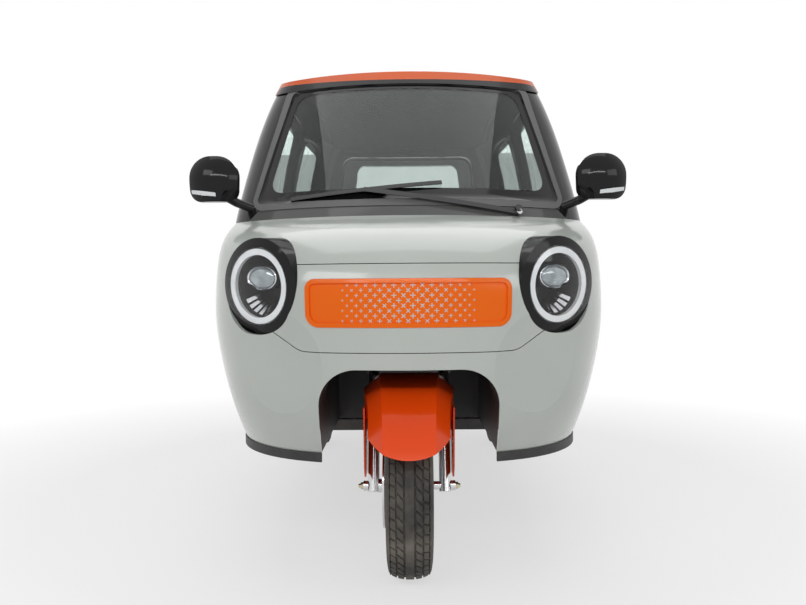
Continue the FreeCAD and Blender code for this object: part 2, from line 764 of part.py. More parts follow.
def make_tailgate():
    outline = front_prism(tailgate_outline(0), TAIL_REACH, REAR)
    opening = front_prism(rear_window_outline(0), TAIL_REACH, REAR)
    lower = lower_body(0).cut(lower_body(WALL)).common(outline)
    upper = glasshouse(0).cut(glasshouse(WALL)).common(crown(ROOF_THICKNESS)).common(outline)
    gate = lower.fuse(upper.cut(opening)).removeSplitter()
    for x in GATE_HINGE_X:
        half = GATE_KNUCKLE / 2
        leaf = tube(gate_point(x - half), gate_point(x + half), GATE_HINGE_RADIUS)
        arm = box(x - half, x + half, at(GATE_HINGE_BEHIND - 10.0), at(GATE_HINGE_BEHIND + 3.0),
                  TAILGATE_TOP - 8.0, GATE_HINGE_Z)
        bore = tube(gate_point(x - half - 1), gate_point(x + half + 1), HINGE_PIN + PIN_FIT)
        gate = gate.fuse(leaf.fuse(arm).cut(bore))
    node("tailgate", gate)
    pane = glasshouse(GLASS_SET_BACK).cut(glasshouse(GLASS_SET_BACK + GLASS))
    node("tailgate_window", pane.common(opening))


# Chassis: rails, floor, wheel housings, axle and springs
def steer(x, ahead, along):
    """Point in the steering frame: along the steering axis from axle height, ahead of it."""
    rake = math.radians(STEER_RAKE)
    up = Vector(0, math.sin(rake), math.cos(rake))
    forward = Vector(0, -math.cos(rake), math.sin(rake))
    foot = Vector(x, at(0), WHEEL_RADIUS) - forward * FORK_OFFSET
    return foot + up * along + forward * ahead


def make_chassis():
    rails = []
    side = [(RAIL_FRONT, RAIL_BOTTOM, 0), (1335.0, RAIL_BOTTOM, 0), (1430.0, KICK_BOTTOM, 0),
            (RAIL_REAR, KICK_BOTTOM, 0), (RAIL_REAR, KICK_TOP, 0), (1410.0, KICK_TOP, 0),
            (1315.0, RAIL_TOP, 0), (RAIL_FRONT, RAIL_TOP, 0)]
    for x in (-RAIL_X, RAIL_X):
        rails.append(side_prism(side, x - RAIL_WIDTH / 2, x + RAIL_WIDTH / 2))
    reach = RAIL_X - RAIL_WIDTH / 2
    for b, z in ((RAIL_FRONT, 305.0), (860.0, 305.0), (1280.0, 305.0), (1500.0, 425.0), (1949.0, 425.0)):
        rails.append(box(-reach, reach, at(b), at(b + 36.0), z, z + 34.0))
    front = at(WELL_REAR + WELL_WALL)
    rear = front + POST_DEPTH
    half = RAIL_X + RAIL_WIDTH / 2
    rails.append(box(-half, RAIL_WIDTH - half, front, rear, RAIL_TOP, POST_TOP))
    rails.append(box(half - RAIL_WIDTH, half, front, rear, RAIL_TOP, POST_TOP))
    rails.append(box(-half, half, front, rear, POST_TOP - RAIL_WIDTH, POST_TOP))
    head_low = steer(0, 0, HEADSTOCK_LOW)
    head = tube(head_low, steer(0, 0, HEADSTOCK_HIGH), HEADSTOCK_RADIUS, STEM_RADIUS + SPINDLE_FIT)
    arm = box(-22, 22, head_low.y + 12.0, front, 622.0, 658.0)
    arm = arm.cut(tube(steer(0, 0, 300.0), steer(0, 0, 600.0), HEADSTOCK_RADIUS - 2.0))
    eye = box(-TOW_HALF_WIDTH, TOW_HALF_WIDTH, at(1950.0), at(2124.0), TOW_PLATE_LOW, TOW_PLATE_HIGH)
    eye = eye.fuse(box(-TOW_HALF_WIDTH, TOW_HALF_WIDTH, at(1950.0), at(1984.0), TOW_PLATE_HIGH, 425.0))
    eye = eye.cut(Part.makeCylinder(TOW_EYE_RADIUS, 20.0, Vector(0, at(TOW_EYE_BEHIND), 300.0)))
    node("chassis_frame", fused(rails + [head, arm, eye]))


def make_rear_liners():
    liner = rear_arch(LINER, LINER_INNER, SIDE).cut(rear_arch(0, LINER_INNER + LINER, SIDE))
    space = box(0, SIDE, at(DECK_FRONT + FLOOR_THICKNESS), at(DECK_REAR), BODY_BOTTOM, DECK_Z)
    return both_sides(liner.common(lower_body(WALL)).common(space))


def make_seat_stand():
    """Two side frames of square tube joined by a cross tube in front and behind."""
    floor_top = BODY_BOTTOM + FLOOR_THICKNESS
    low = SEAT_STAND_TOP - SEAT_STAND_TUBE
    front = (at(SEAT_STAND_FRONT), at(SEAT_STAND_FRONT + SEAT_STAND_TUBE))
    rear = (at(SEAT_STAND_REAR - SEAT_STAND_TUBE), at(SEAT_STAND_REAR))
    tubes = []
    for x in (-SEAT_STAND_HALF_WIDTH, SEAT_STAND_HALF_WIDTH - SEAT_STAND_TUBE):
        tubes.append(box(x, x + SEAT_STAND_TUBE, *front, floor_top, low))
        tubes.append(box(x, x + SEAT_STAND_TUBE, *rear, floor_top, low))
        tubes.append(box(x, x + SEAT_STAND_TUBE, front[0], rear[1], low, SEAT_STAND_TOP))
    for ends in (front, rear):
        tubes.append(box(-SEAT_STAND_HALF_WIDTH, SEAT_STAND_HALF_WIDTH, *ends, low, SEAT_STAND_TOP))
    return fused(tubes)


def make_floor():
    inside = lower_body(WALL)
    low = inside.common(box(-SIDE, SIDE, at(WELL_REAR + WELL_WALL), at(DECK_FRONT), BODY_BOTTOM,
                            BODY_BOTTOM + FLOOR_THICKNESS))
    riser_rear = DECK_FRONT + FLOOR_THICKNESS
    riser = inside.common(box(-SIDE, SIDE, at(DECK_FRONT), at(riser_rear), BODY_BOTTOM, DECK_Z))
    deck = inside.common(box(-SIDE, SIDE, at(DECK_FRONT), at(DECK_REAR), DECK_Z, DECK_Z + FLOOR_THICKNESS))
    posts = box(-RAIL_X - 22, RAIL_X + 22, at(WELL_REAR), at(WELL_REAR + 50.0), 340.0, 400.0)
    node("floor_pan", fused([low, riser, deck]).cut(posts).fuse(make_seat_stand()))


def well_space(grow):
    """Space inside the front wheel well, with a higher ceiling where the top of the fork swings."""
    low = front_prism(arch_outline(grow), FRONT, WELL_REAR + grow)
    high = front_prism(arch_outline(grow, WELL_LIFT), WELL_LIFT_FRONT - grow, WELL_REAR + grow)
    return fused([low, high])


def make_wheel_well():
    well = well_space(WELL_WALL).cut(well_space(0)).common(lower_body(NOSE_WALL)).cut(scoops(NOSE_WALL))
    hole = tube(steer(0, 0, 250.0), steer(0, 0, 600.0), HEADSTOCK_RADIUS + 1.0)
    node("wheel_housings", well.cut(hole), *make_rear_liners())


def make_rear_axle():
    y = REAR_AXLE_Y
    beam_half = HUB_FACE - 30.0
    spindle_half = REAR_TRACK / 2 + 20.0
    beam = Part.makeCylinder(AXLE_TUBE_RADIUS, 2 * beam_half, Vector(-beam_half, y, WHEEL_RADIUS), ACROSS)
    spindles = Part.makeCylinder(SPINDLE_RADIUS, 2 * spindle_half, Vector(-spindle_half, y, WHEEL_RADIUS),
                                 ACROSS)
    case = revolved([(-70, 0), (-70, 60), (-45, 92), (45, 92), (70, 60), (70, 0)],
                    Vector(GEAR_CASE_X, y, WHEEL_RADIUS), ACROSS, Vector(0, 0, 1))
    motor = Part.makeCylinder(MOTOR_RADIUS, MOTOR_LENGTH, Vector(GEAR_CASE_X, y - 250.0, WHEEL_RADIUS + 10.0),
                              Vector(0, 1, 0))
    drums = [Part.makeCylinder(DRUM_RADIUS, DRUM_WIDTH, Vector(x, y, WHEEL_RADIUS), ACROSS)
             for x in (-HUB_FACE, HUB_FACE - DRUM_WIDTH)]
    node("rear_axle", fused([beam, spindles, case, motor] + drums))
    make_leaf_springs(y)


def make_leaf_springs(y):
    top = WHEEL_RADIUS + AXLE_TUBE_RADIUS
    outer = SPRING_X + SPRING_WIDTH
    leaves = []
    for half, low in ((320.0, 0), (235.0, LEAF), (150.0, 2 * LEAF)):
        sag = (half / 320.0) ** 2 * 95.0
        z = top + 2 * LEAF - low
        over = arc(Vector(SPRING_X, y - half, z + sag), Vector(SPRING_X, y, z),
                   Vector(SPRING_X, y + half, z + sag))
        under = arc(Vector(SPRING_X, y + half, z + sag + LEAF), Vector(SPRING_X, y, z + LEAF),
                    Vector(SPRING_X, y - half, z + sag + LEAF))
        ends = [Part.makeLine(over.Vertexes[-1].Point, under.Vertexes[0].Point),
                Part.makeLine(under.Vertexes[-1].Point, over.Vertexes[0].Point)]
        face = Part.Face(Part.Wire([over, ends[0], under, ends[1]]))
        leaves.append(face.extrude(Vector(SPRING_WIDTH, 0, 0)))
    leaves.append(box(SPRING_X - 2, outer + 4, y - 40, y + 40, top, top + 30))
    for hanger in (y - 305, y + 305):
        leaves.append(box(RAIL_X + RAIL_WIDTH / 2, outer, hanger - 14, hanger + 14, 360.0, 440.0))
    node("leaf_springs", *both_sides(fused(leaves)))


# Cabin: seats, dashboard, battery
def make_cabin():
    node("battery_pack", box(-250, 250, at(690.0), at(1040.0), BODY_BOTTOM + FLOOR_THICKNESS, 560.0))
    seat = SEAT_STAND_TOP
    cushion = side_prism([(655.0, seat, 20.0), (1100.0, seat, 15.0), (1100.0, seat + 90.0, 20.0),
                          (655.0, seat + 105.0, 45.0)], -SEAT_HALF_WIDTH, SEAT_HALF_WIDTH)
    back_half = SEAT_HALF_WIDTH - 20.0
    back = side_prism([(1040.0, seat + 90.0, 20.0), (1110.0, seat + 90.0, 20.0), (1215.0, 1150.0, 30.0),
                       (1130.0, 1150.0, 35.0)], -back_half, back_half)
    node("front_seat", cushion.fuse(back))
    deck = DECK_Z + FLOOR_THICKNESS
    bench = side_prism([(1370.0, deck, 20.0), (1790.0, deck, 15.0), (1790.0, deck + 95.0, 20.0),
                        (1370.0, deck + 105.0, 40.0)], -BENCH_HALF_WIDTH, BENCH_HALF_WIDTH)
    rest_half = BENCH_HALF_WIDTH - 15.0
    rest = side_prism([(1740.0, deck + 90.0, 20.0), (1800.0, deck + 90.0, 20.0), (1870.0, 1080.0, 30.0),
                       (1795.0, 1080.0, 35.0)], -rest_half, rest_half)
    node("rear_bench", bench.fuse(rest))
    dash_half = DASHBOARD_HALF_WIDTH
    shelf = box(-dash_half, dash_half, at(20.0), at(230.0), 941.0, BELT)
    block = side_prism([(115.0, 820.0, 20.0), (232.0, 800.0, 30.0), (268.0, 885.0, 30.0), (240.0, BELT, 25.0),
                        (115.0, BELT, 0)], -dash_half, dash_half)
    column = tube(steer(0, 0, 500.0), steer(0, 0, 900.0), STEM_RADIUS + 8.0)
    node("dashboard", shelf.fuse(block).common(lower_body(NOSE_WALL)).cut(column))


# Mirrors, wiper, skirts, tail lamps, bumper
MIRROR_CENTRE = Vector(558.0, at(214.0), 1074.0)
MIRROR_DOME = 105.0
MIRROR_DEPTH = 53.0
MIRROR_BORDER = 8.0
MIRROR_ARM_RADIUS = 13.0


def mirror_outline(grow):
    """Rounded outline of the right mirror about its centre, flatter below than above."""
    x, z = MIRROR_CENTRE.x, MIRROR_CENTRE.z
    return [
        (x - 66.0 - grow, z - 62.0 - grow, 34.0),
        (x + 72.0 + grow, z - 62.0 - grow, 34.0),
        (x + 74.0 + grow, z + 70.0 + grow, 60.0),
        (x - 70.0 - grow, z + 70.0 + grow, 60.0),
    ]


def make_mirrors():
    centre = MIRROR_CENTRE
    dome = Part.makeSphere(MIRROR_DOME, centre + Vector(0, MIRROR_DOME - MIRROR_DEPTH, 0))
    behind = centre.y - FRONT_AXLE_Y
    shell = dome.common(front_prism(mirror_outline(0), behind - 100.0, behind))
    bends = [centre + Vector(-20, -24, -40), Vector(500, at(215.0), 1012.0), Vector(440, at(225.0), 990.0)]
    arm = bent_tube(bends, MIRROR_ARM_RADIUS, 22.0)
    opening = front_prism(windscreen_outline(FIT), FRONT, WINDSCREEN_REACH)
    seal = glasshouse(-SEAL_PROUD - FIT).common(opening)
    arm = arm.cut([glasshouse(0), seal])
    arm = max(arm.Solids, key=lambda s: s.BoundBox.XMax)
    node("mirrors", *both_sides(shell.fuse(arm)))
    glass = Part.makeSphere(MIRROR_DOME - 10.0, centre + Vector(0, MIRROR_DOME - MIRROR_DEPTH, 0))
    glass = glass.common(front_prism(mirror_outline(-MIRROR_BORDER), behind, behind + 4.0))
    node("mirror_glasses", *both_sides(glass.cut(arm)))


def strip(start, end, width):
    """Corners of a straight strip in the front view, from start to end."""
    along = Vector(end[0] - start[0], 0, end[1] - start[1])
    along.normalize()
    across = Vector(-along.z, 0, along.x) * (width / 2)
    return [
        (start[0] - across.x, start[1] - across.z, 0),
        (end[0] - across.x, end[1] - across.z, 0),
        (end[0] + across.x, end[1] + across.z, 0),
        (start[0] + across.x, start[1] + across.z, 0),
    ]


def make_wiper():
    blade = glasshouse(-9.0).cut(glasshouse(GLASS_SET_BACK))
    blade = blade.common(front_prism(strip((-330.0, 1012.0), (95.0, 1052.0), 11.0), -80.0, 500.0))
    arm = glasshouse(-17.0).cut(glasshouse(-9.0))
    arm = arm.common(front_prism(strip((312.0, 966.0), (-120.0, 1032.0), 13.0), -80.0, 500.0))
    pivot = Part.makeCylinder(11.0, 90.0, Vector(307.0, at(130.0), 968.0), Vector(0, -1, 0.25))
    pivot = pivot.common(glasshouse(-24.0)).cut(glasshouse(0))
    node("wiper", blade.fuse([arm, pivot]))


def make_skirts():
    z, front, rear, half = LOWER_SECTIONS[0]
    drop = 24.0
    outer = Part.Face(body_outline(z, front, rear, half, corner_radius(z), -3.0)).extrude(Vector(0, 0, -drop))
    inner = Part.Face(body_outline(z, front, rear, half, corner_radius(z), 9.0)).extrude(Vector(0, 0, -drop))
    skirt = outer.cut(inner).cut(front_prism(arch_outline(0), FRONT, ARCH_REACH))
    node("skirts", skirt.cut(arch_spaces()))


def make_rear_trim():
    lamp = [(446.0, 690.0, 20.0), (530.0, 690.0, 20.0), (530.0, 850.0, 20.0), (446.0, 850.0, 20.0)]
    lens = lower_body(-7.0).cut(lower_body(0)).common(front_prism(lamp, 1800.0, 2300.0))
    node("tail_lamps", *both_sides(lens))
    outline = [(-430.0, 372.0, 20.0), (430.0, 372.0, 20.0), (440.0, 492.0, 25.0), (-440.0, 492.0, 25.0)]
    bar = front_prism(outline, 1900.0, 2130.0).cut(lower_body(0))
    bar = max(bar.Solids, key=lambda s: s.BoundBox.YMax)
    plan = [(-450.0, 1900.0, 0), (450.0, 1900.0, 0), (450.0, 2130.0, 90.0), (-450.0, 2130.0, 90.0)]
    ends = plan_prism(plan, 360.0, 500.0)
    profile = side_prism([(1900.0, 366.0, 0), (2112.0, 366.0, 20.0), (2130.0, 420.0, 30.0),
                          (2130.0, 462.0, 18.0), (2098.0, 494.0, 20.0), (1900.0, 494.0, 0)], -SIDE, SIDE)
    bar = bar.common(ends).common(profile)
    for x in (-PLATE_HOLE_SPACING / 2, PLATE_HOLE_SPACING / 2):
        mouth = Vector(x, 1201.0, PLATE_HOLE_Z)
        bar = bar.cut(Part.makeCylinder(PLATE_HOLE_RADIUS, 30.0, mouth, Vector(0, -1, 0)))
    node("rear_bumper", bar)


# Steering: fork, mudguard, handlebar
MUDGUARD_SECTIONS = [
    # angle above the ground in front, half width, half width of the flat top, crown radius
    (24.0, 94.0, 60.0, 300.0),
    (42.0, 100.0, 64.0, 300.0),
    (62.0, 103.0, 68.0, 300.0),
    (84.0, 117.0, 76.0, 300.0),
    (108.0, 118.0, 78.0, 300.0),
    (132.0, 117.0, 78.0, 300.0),
    (156.0, 112.0, 74.0, 300.0),
]
MUDGUARD_THICKNESS = 3.0
LEG_RADIUS = 15.5
AXLE_RADIUS = 7.5
NUT_RADIUS = 13.0
HANDLEBAR_RADIUS = 11.0
BRAKE_PLATE_RADIUS = 109.0


def on_front_axle(radius, x0, x1):
    return Part.makeCylinder(radius, x1 - x0, Vector(x0, at(0), WHEEL_RADIUS), ACROSS)


def mudguard_section(angle, half, flat, crown_radius):
    """Thin bevelled section of the mudguard, standing on a radius of the wheel."""
    t = MUDGUARD_THICKNESS
    side_low = crown_radius - 105.0
    bevel = crown_radius - 40.0
    outer = [(-half, side_low), (-half, bevel), (-flat, crown_radius), (flat, crown_radius), (half, bevel),
             (half, side_low)]
    inner = [(half - t, side_low), (half - t, bevel - 1.2), (flat - 1.2, crown_radius - t),
             (1.2 - flat, crown_radius - t), (t - half, bevel - 1.2), (t - half, side_low)]
    theta = math.radians(angle)
    points = [Vector(x, at(0) - r * math.cos(theta), WHEEL_RADIUS + r * math.sin(theta))
              for x, r in outer + inner]
    return Part.makePolygon(points + points[:1])


def make_steering():
    legs = []
    for x in (-FORK_SPACING / 2, FORK_SPACING / 2):
        legs.append(tube(steer(x, FORK_OFFSET, -16.0), steer(x, FORK_OFFSET, 345.0), LEG_RADIUS))
    wide = FORK_SPACING / 2 + 24.0
    clamp = box(-wide, wide, -24.0, FORK_OFFSET + 22.0, 318.0, 340.0)
    turn = FreeCAD.Placement(steer(0, 0, 0), FreeCAD.Rotation(Vector(1, 0, 0), -STEER_RAKE))
    flip = FreeCAD.Matrix()
    flip.scale(1, -1, 1)
    clamp = clamp.transformGeometry(flip)
    clamp.Placement = turn.multiply(clamp.Placement)
    stem = tube(steer(0, 0, 330.0), steer(0, 0, 790.0), STEM_RADIUS)
    half_axle = FORK_SPACING / 2 + 32.0
    axle = on_front_axle(AXLE_RADIUS, -half_axle, half_axle)
    nuts = []
    for x in (-FORK_SPACING / 2 - 27.0, FORK_SPACING / 2 + 14.0):
        nuts.append(on_front_axle(NUT_RADIUS, x, x + 13.0))
    spacer = on_front_axle(11.0, 60.0, 86.0)
    plate = on_front_axle(BRAKE_PLATE_RADIUS, -69.0, -64.0).fuse(on_front_axle(18.0, -82.0, -68.0))
    node("fork", fused(legs + [clamp, stem, axle, spacer, plate] + nuts))
    sections = [mudguard_section(*row) for row in MUDGUARD_SECTIONS]
    guard = Part.makeLoft(sections, True, False)
    skirt = side_prism([(-78.0, 455.0, 0), (-62.0, 300.0, 20.0), (-38.0, 266.0, 20.0), (42.0, 266.0, 20.0),
                        (78.0, 330.0, 30.0), (96.0, 455.0, 0)], 113.0, 117.0)
    leg_spaces = [tube(steer(x, FORK_OFFSET, -40.0), steer(x, FORK_OFFSET, 500.0), LEG_RADIUS)
                  for x in (-FORK_SPACING / 2, FORK_SPACING / 2)]
    guard = guard.fuse(both_sides(skirt)).cut(leg_spaces)
    lip = Part.makeCylinder(150.0, 200.0, Vector(0, at(-320.0), 515.0), Vector(0, 1, 0))
    low = box(-130, 130, at(-320.0), at(-120.0), 300.0, 515.0).cut(lip)
    guard = guard.cut(low)
    node("front_mudguard", max(guard.Solids, key=lambda s: s.Volume))
    top = steer(0, 0, 800.0)
    right = [top + Vector(90, 0, 5), top + Vector(190, 60, 30), top + Vector(330, 95, 30)]
    left = [top + Vector(-330, 95, 30), top + Vector(-190, 60, 30), top + Vector(-90, 0, 5)]
    bar = bent_tube(left + right, HANDLEBAR_RADIUS, 40.0)
    clampblock = tube(steer(0, 0, 790.0), steer(0, 0, 822.0), 24.0)
    node("handlebar", bar.fuse(clampblock))


def tyre(centre, width):
    half = width / 2
    outside = WHEEL_RADIUS
    profile = [(-half * 0.76, RIM_RADIUS), (-half, RIM_RADIUS + 38.0), (-half * 0.97, outside - 34.0),
               (-half * 0.78, outside - 9.0), (-half * 0.45, outside), (half * 0.45, outside),
               (half * 0.78, outside - 9.0), (half * 0.97, outside - 34.0), (half, RIM_RADIUS + 38.0),
               (half * 0.76, RIM_RADIUS)]
    return revolved(profile, centre, ACROSS, Vector(0, 0, 1))


def rim(centre, width, bore, hub_half, hub_radius):
    half = width / 2 * 0.8
    barrel = revolved([(-half, RIM_RADIUS), (-half, RIM_RADIUS - 10.0), (-half + 14.0, RIM_RADIUS - 18.0),
                       (half - 14.0, RIM_RADIUS - 18.0), (half, RIM_RADIUS - 10.0), (half, RIM_RADIUS)],
                      centre, ACROSS, Vector(0, 0, 1))
    hub = tube(centre - Vector(hub_half, 0, 0), centre + Vector(hub_half, 0, 0), hub_radius, bore)
    pieces = [barrel, hub]
    for step in range(5):
        spoke = box(centre.x - 9, centre.x + 9, centre.y - 17, centre.y + 17, centre.z + hub_radius - 6,
                    centre.z + RIM_RADIUS - 14)
        spoke.rotate(centre, ACROSS, 72.0 * step)
        pieces.append(spoke)
    return fused(pieces)


def make_wheels():
    front = Vector(0, at(0), WHEEL_RADIUS)
    node("front_tyre", tyre(front, FRONT_TYRE_WIDTH))
    node("front_rim", rim(front, FRONT_TYRE_WIDTH, AXLE_RADIUS + SPINDLE_FIT, 59.0, 26.0))
    for side, x in (("right", REAR_TRACK / 2), ("left", -REAR_TRACK / 2)):
        centre = Vector(x, REAR_AXLE_Y, WHEEL_RADIUS)
        node("rear_tyre_" + side, tyre(centre, REAR_TYRE_WIDTH))
        node("rear_rim_" + side, rim(centre, REAR_TYRE_WIDTH, SPINDLE_RADIUS + SPINDLE_FIT, 50.0, 34.0))


PARTS = [make_front_body, make_headlamps, make_glasshouse, make_roof, make_doors, make_rear_body,
         make_tailgate, make_chassis, make_floor, make_wheel_well, make_rear_axle, make_cabin, make_mirrors,
         make_wiper, make_skirts, make_rear_trim, make_steering, make_wheels]

if __name__ == "__main__":
    os.makedirs("parts", exist_ok=True)
    for make in PARTS:
        make()
    for name, solids in NODES.items():
        shape = solids[0] if len(solids) == 1 else Part.makeCompound(solids)
        shape.exportStep("parts/" + name + ".step")
        print(name, len(solids), "solids", round(shape.Volume / 1e6, 3), "litres")
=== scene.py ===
import json
import math

import bmesh
import bpy
from mathutils import Matrix, Vector
from mathutils.bvhtree import BVHTree


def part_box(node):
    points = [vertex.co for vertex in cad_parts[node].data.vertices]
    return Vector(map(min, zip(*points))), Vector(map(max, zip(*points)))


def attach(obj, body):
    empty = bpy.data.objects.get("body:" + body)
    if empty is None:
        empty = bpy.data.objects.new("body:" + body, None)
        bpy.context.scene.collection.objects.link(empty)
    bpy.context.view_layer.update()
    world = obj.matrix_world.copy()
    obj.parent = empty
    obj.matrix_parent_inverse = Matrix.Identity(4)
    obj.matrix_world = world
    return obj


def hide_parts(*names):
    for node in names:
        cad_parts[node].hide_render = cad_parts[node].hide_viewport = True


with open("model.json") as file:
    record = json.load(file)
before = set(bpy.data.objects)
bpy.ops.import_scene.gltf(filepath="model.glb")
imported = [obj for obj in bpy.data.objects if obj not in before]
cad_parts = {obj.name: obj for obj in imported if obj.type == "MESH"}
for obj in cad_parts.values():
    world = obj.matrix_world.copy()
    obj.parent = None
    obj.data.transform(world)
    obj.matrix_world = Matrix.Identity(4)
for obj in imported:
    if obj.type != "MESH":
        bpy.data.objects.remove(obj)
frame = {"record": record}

# Driving sizes, in metres, the same as the ones the frame was built from
FRONT_AXLE = Vector((0.0, -0.930, 0.235))
REAR_AXLE = Vector((0.0, 0.690, 0.235))
WHEEL_RADIUS = 0.235
RIM_RADIUS = 0.130
REAR_TRACK = 0.880
STEER_RAKE = math.radians(20.0)

# Sides and directions of the vehicle, whose front looks along -Y, and a Y well in front of it
SIDES = ((1, "right"), (-1, "left"))
UP = Vector((0, 0, 1))
BACKWARD = Vector((0, 1, 0))
AHEAD = -2.0

# Points closer than this are welded
WELD = 0.00001

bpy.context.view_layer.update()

FLOAT = "NodeSocketFloat"
VECTOR = "NodeSocketVector"
GEOMETRY = "NodeSocketGeometry"
MATERIAL = "NodeSocketMaterial"
RELIEF_DEPTH = 0.001


class Net:
    """Short hand for adding and joining nodes in one tree."""

    def __init__(self, tree):
        self.tree = tree

    def add(self, kind, inputs=None, **settings):
        """A node with its settings, and each input linked or set."""
        node = self.tree.nodes.new(kind)
        for key, value in settings.items():
            setattr(node, key, value)
        for key, value in (inputs or {}).items():
            if isinstance(value, bpy.types.NodeSocket):
                self.tree.links.new(value, node.inputs[key])
            else:
                node.inputs[key].default_value = value
        return node

    def link(self, out, into):
        self.tree.links.new(out, into)

    def coordinates(self):
        return self.add("ShaderNodeTexCoord").outputs["Object"]

    def noise(self, vector, scale, detail, roughness=0.5):
        return self.add("ShaderNodeTexNoise", {"Vector": vector, "Scale": scale, "Detail": detail,
                                               "Roughness": roughness}).outputs[0]

    def span(self, value, low, high, to_low=0.0, to_high=1.0):
        """The value moved from one range to another, and held inside it."""
        inputs = {"Value": value, "From Min": low, "From Max": high, "To Min": to_low,
                  "To Max": to_high}
        return self.add("ShaderNodeMapRange", inputs).outputs["Result"]

    def math(self, operation, first, second=0.0):
        return self.add("ShaderNodeMath", {0: first, 1: second}, operation=operation).outputs[0]

    def mix(self, factor, first, second):
        """A blend of two colours, which are inputs 6 and 7 of the node."""
        return self.add("ShaderNodeMix", {"Factor": factor, 6: first, 7: second},
                        data_type="RGBA").outputs[2]

    def group(self, tree, inputs):
        """The one output of a shared group, with these values."""
        return self.add("ShaderNodeGroup", inputs, node_tree=tree).outputs[0]

    def relief(self, shader, strength, height):
        """Fine relief on a shader, from a height."""
        bump = self.add("ShaderNodeBump", {"Strength": strength, "Distance": RELIEF_DEPTH,
                                           "Height": height})
        self.link(bump.outputs["Normal"], shader.inputs["Normal"])

    def seen(self):
        """1 for what the camera sees directly, in a reflection or through glass."""
        path = self.add("ShaderNodeLightPath")
        direct = self.math("MAXIMUM", path.outputs["Is Camera Ray"],
                           path.outputs["Is Transmission Ray"])
        return self.math("MAXIMUM", direct, path.outputs["Is Glossy Ray"])


# Shader groups shared by several materials
def new_group(name, inputs, output):
    """A node group of numbers with one output; returns it, its net and its two end nodes."""
    group = bpy.data.node_groups.new(name, "ShaderNodeTree")
    for label, value in inputs.items():
        socket = group.interface.new_socket(label, in_out="INPUT", socket_type=FLOAT)
        socket.default_value = value
    group.interface.new_socket(output, in_out="OUTPUT", socket_type=FLOAT)
    return group, Net(group), group.nodes.new("NodeGroupInput"), group.nodes.new("NodeGroupOutput")


def make_dust_group():
    """Road dust that thickens towards the ground, broken up by noise."""
    group, net, start, end = new_group(
        "road_dust", {"Height": 0.5, "Amount": 0.5, "Fineness": 9.0}, "Mask")
    coords = net.coordinates()
    height = net.add("ShaderNodeSeparateXYZ", {"Vector": coords}).outputs["Z"]
    low = net.span(net.math("DIVIDE", height, start.outputs["Height"]), 1.0, 0.0)
    patches = net.span(net.noise(coords, start.outputs["Fineness"], 7.0, 0.65), 0.36, 0.68)
    mask = net.math("MULTIPLY", low, patches)
    net.link(net.math("MULTIPLY", mask, start.outputs["Amount"]), end.inputs["Mask"])
    return group


def make_wear_group():
    """Edges where the surface turns sharply, scuffed unevenly."""
    group, net, start, end = new_group(
        "edge_wear", {"Sharpness": 0.56, "Amount": 0.6, "Fineness": 40.0}, "Mask")
    pointed = net.add("ShaderNodeNewGeometry").outputs["Pointiness"]
    edge = net.span(pointed, start.outputs["Sharpness"], 0.75)
    broken = net.span(net.noise(net.coordinates(), start.outputs["Fineness"], 5.0), 0.42, 0.6)
    mask = net.math("MULTIPLY", edge, broken)
    net.link(net.math("MULTIPLY", mask, start.outputs["Amount"]), end.inputs["Mask"])
    return group


def make_grain_group():
    """Fine height for moulded plastic, paint peel or leather, by its scale."""
    group, net, start, end = new_group("grain", {"Scale": 400.0, "Cells": 0.5}, "Height")
    coords = net.coordinates()
    soft = net.noise(coords, start.outputs["Scale"], 3.0)
    cells = net.add("ShaderNodeTexVoronoi", {"Vector": coords, "Scale": start.outputs["Scale"]},
                    feature="SMOOTH_F1").outputs["Distance"]
    both = net.add("ShaderNodeMix", {"Factor": start.outputs["Cells"], 2: soft, 3: cells},
                   data_type="FLOAT")
    net.link(both.outputs[0], end.inputs["Height"])
    return group


def make_tone_group():
    """Slow change of tone over a large surface."""
    group, net, start, end = new_group("tone", {"Scale": 3.0, "Low": 0.9, "High": 1.05}, "Value")
    noise = net.noise(net.coordinates(), start.outputs["Scale"], 4.0)
    net.link(net.span(noise, 0.3, 0.7, start.outputs["Low"], start.outputs["High"]),
             end.inputs["Value"])
    return group


DUST = make_dust_group()
WEAR = make_wear_group()
GRAIN = make_grain_group()
TONE = make_tone_group()

# Materials
DUST_COLOUR = (0.42, 0.38, 0.32, 1.0)
DUST_ROUGHNESS = 0.45
WEAR_ROUGHNESS = 0.2
SMOOTHEST = 0.02
COAT_ROUGHNESS = 0.04
NO_DUST = (0.5, 0.0)
GLASS_IOR = 1.3
GLASS_SMEARS = (6.0, 6.0, 1.5)


def new_material(name):
    """A material, the net of its tree and its shader."""
    material = bpy.data.materials.new(name)
    material.use_nodes = True
    return material, Net(material.node_tree), material.node_tree.nodes["Principled BSDF"]


def set_sockets(shader, values):
    for socket, value in values.items():
        shader.inputs[socket].default_value = value


def tone(rgb, factor):
    return (*(min(1.0, channel * factor) for channel in rgb), 1.0)


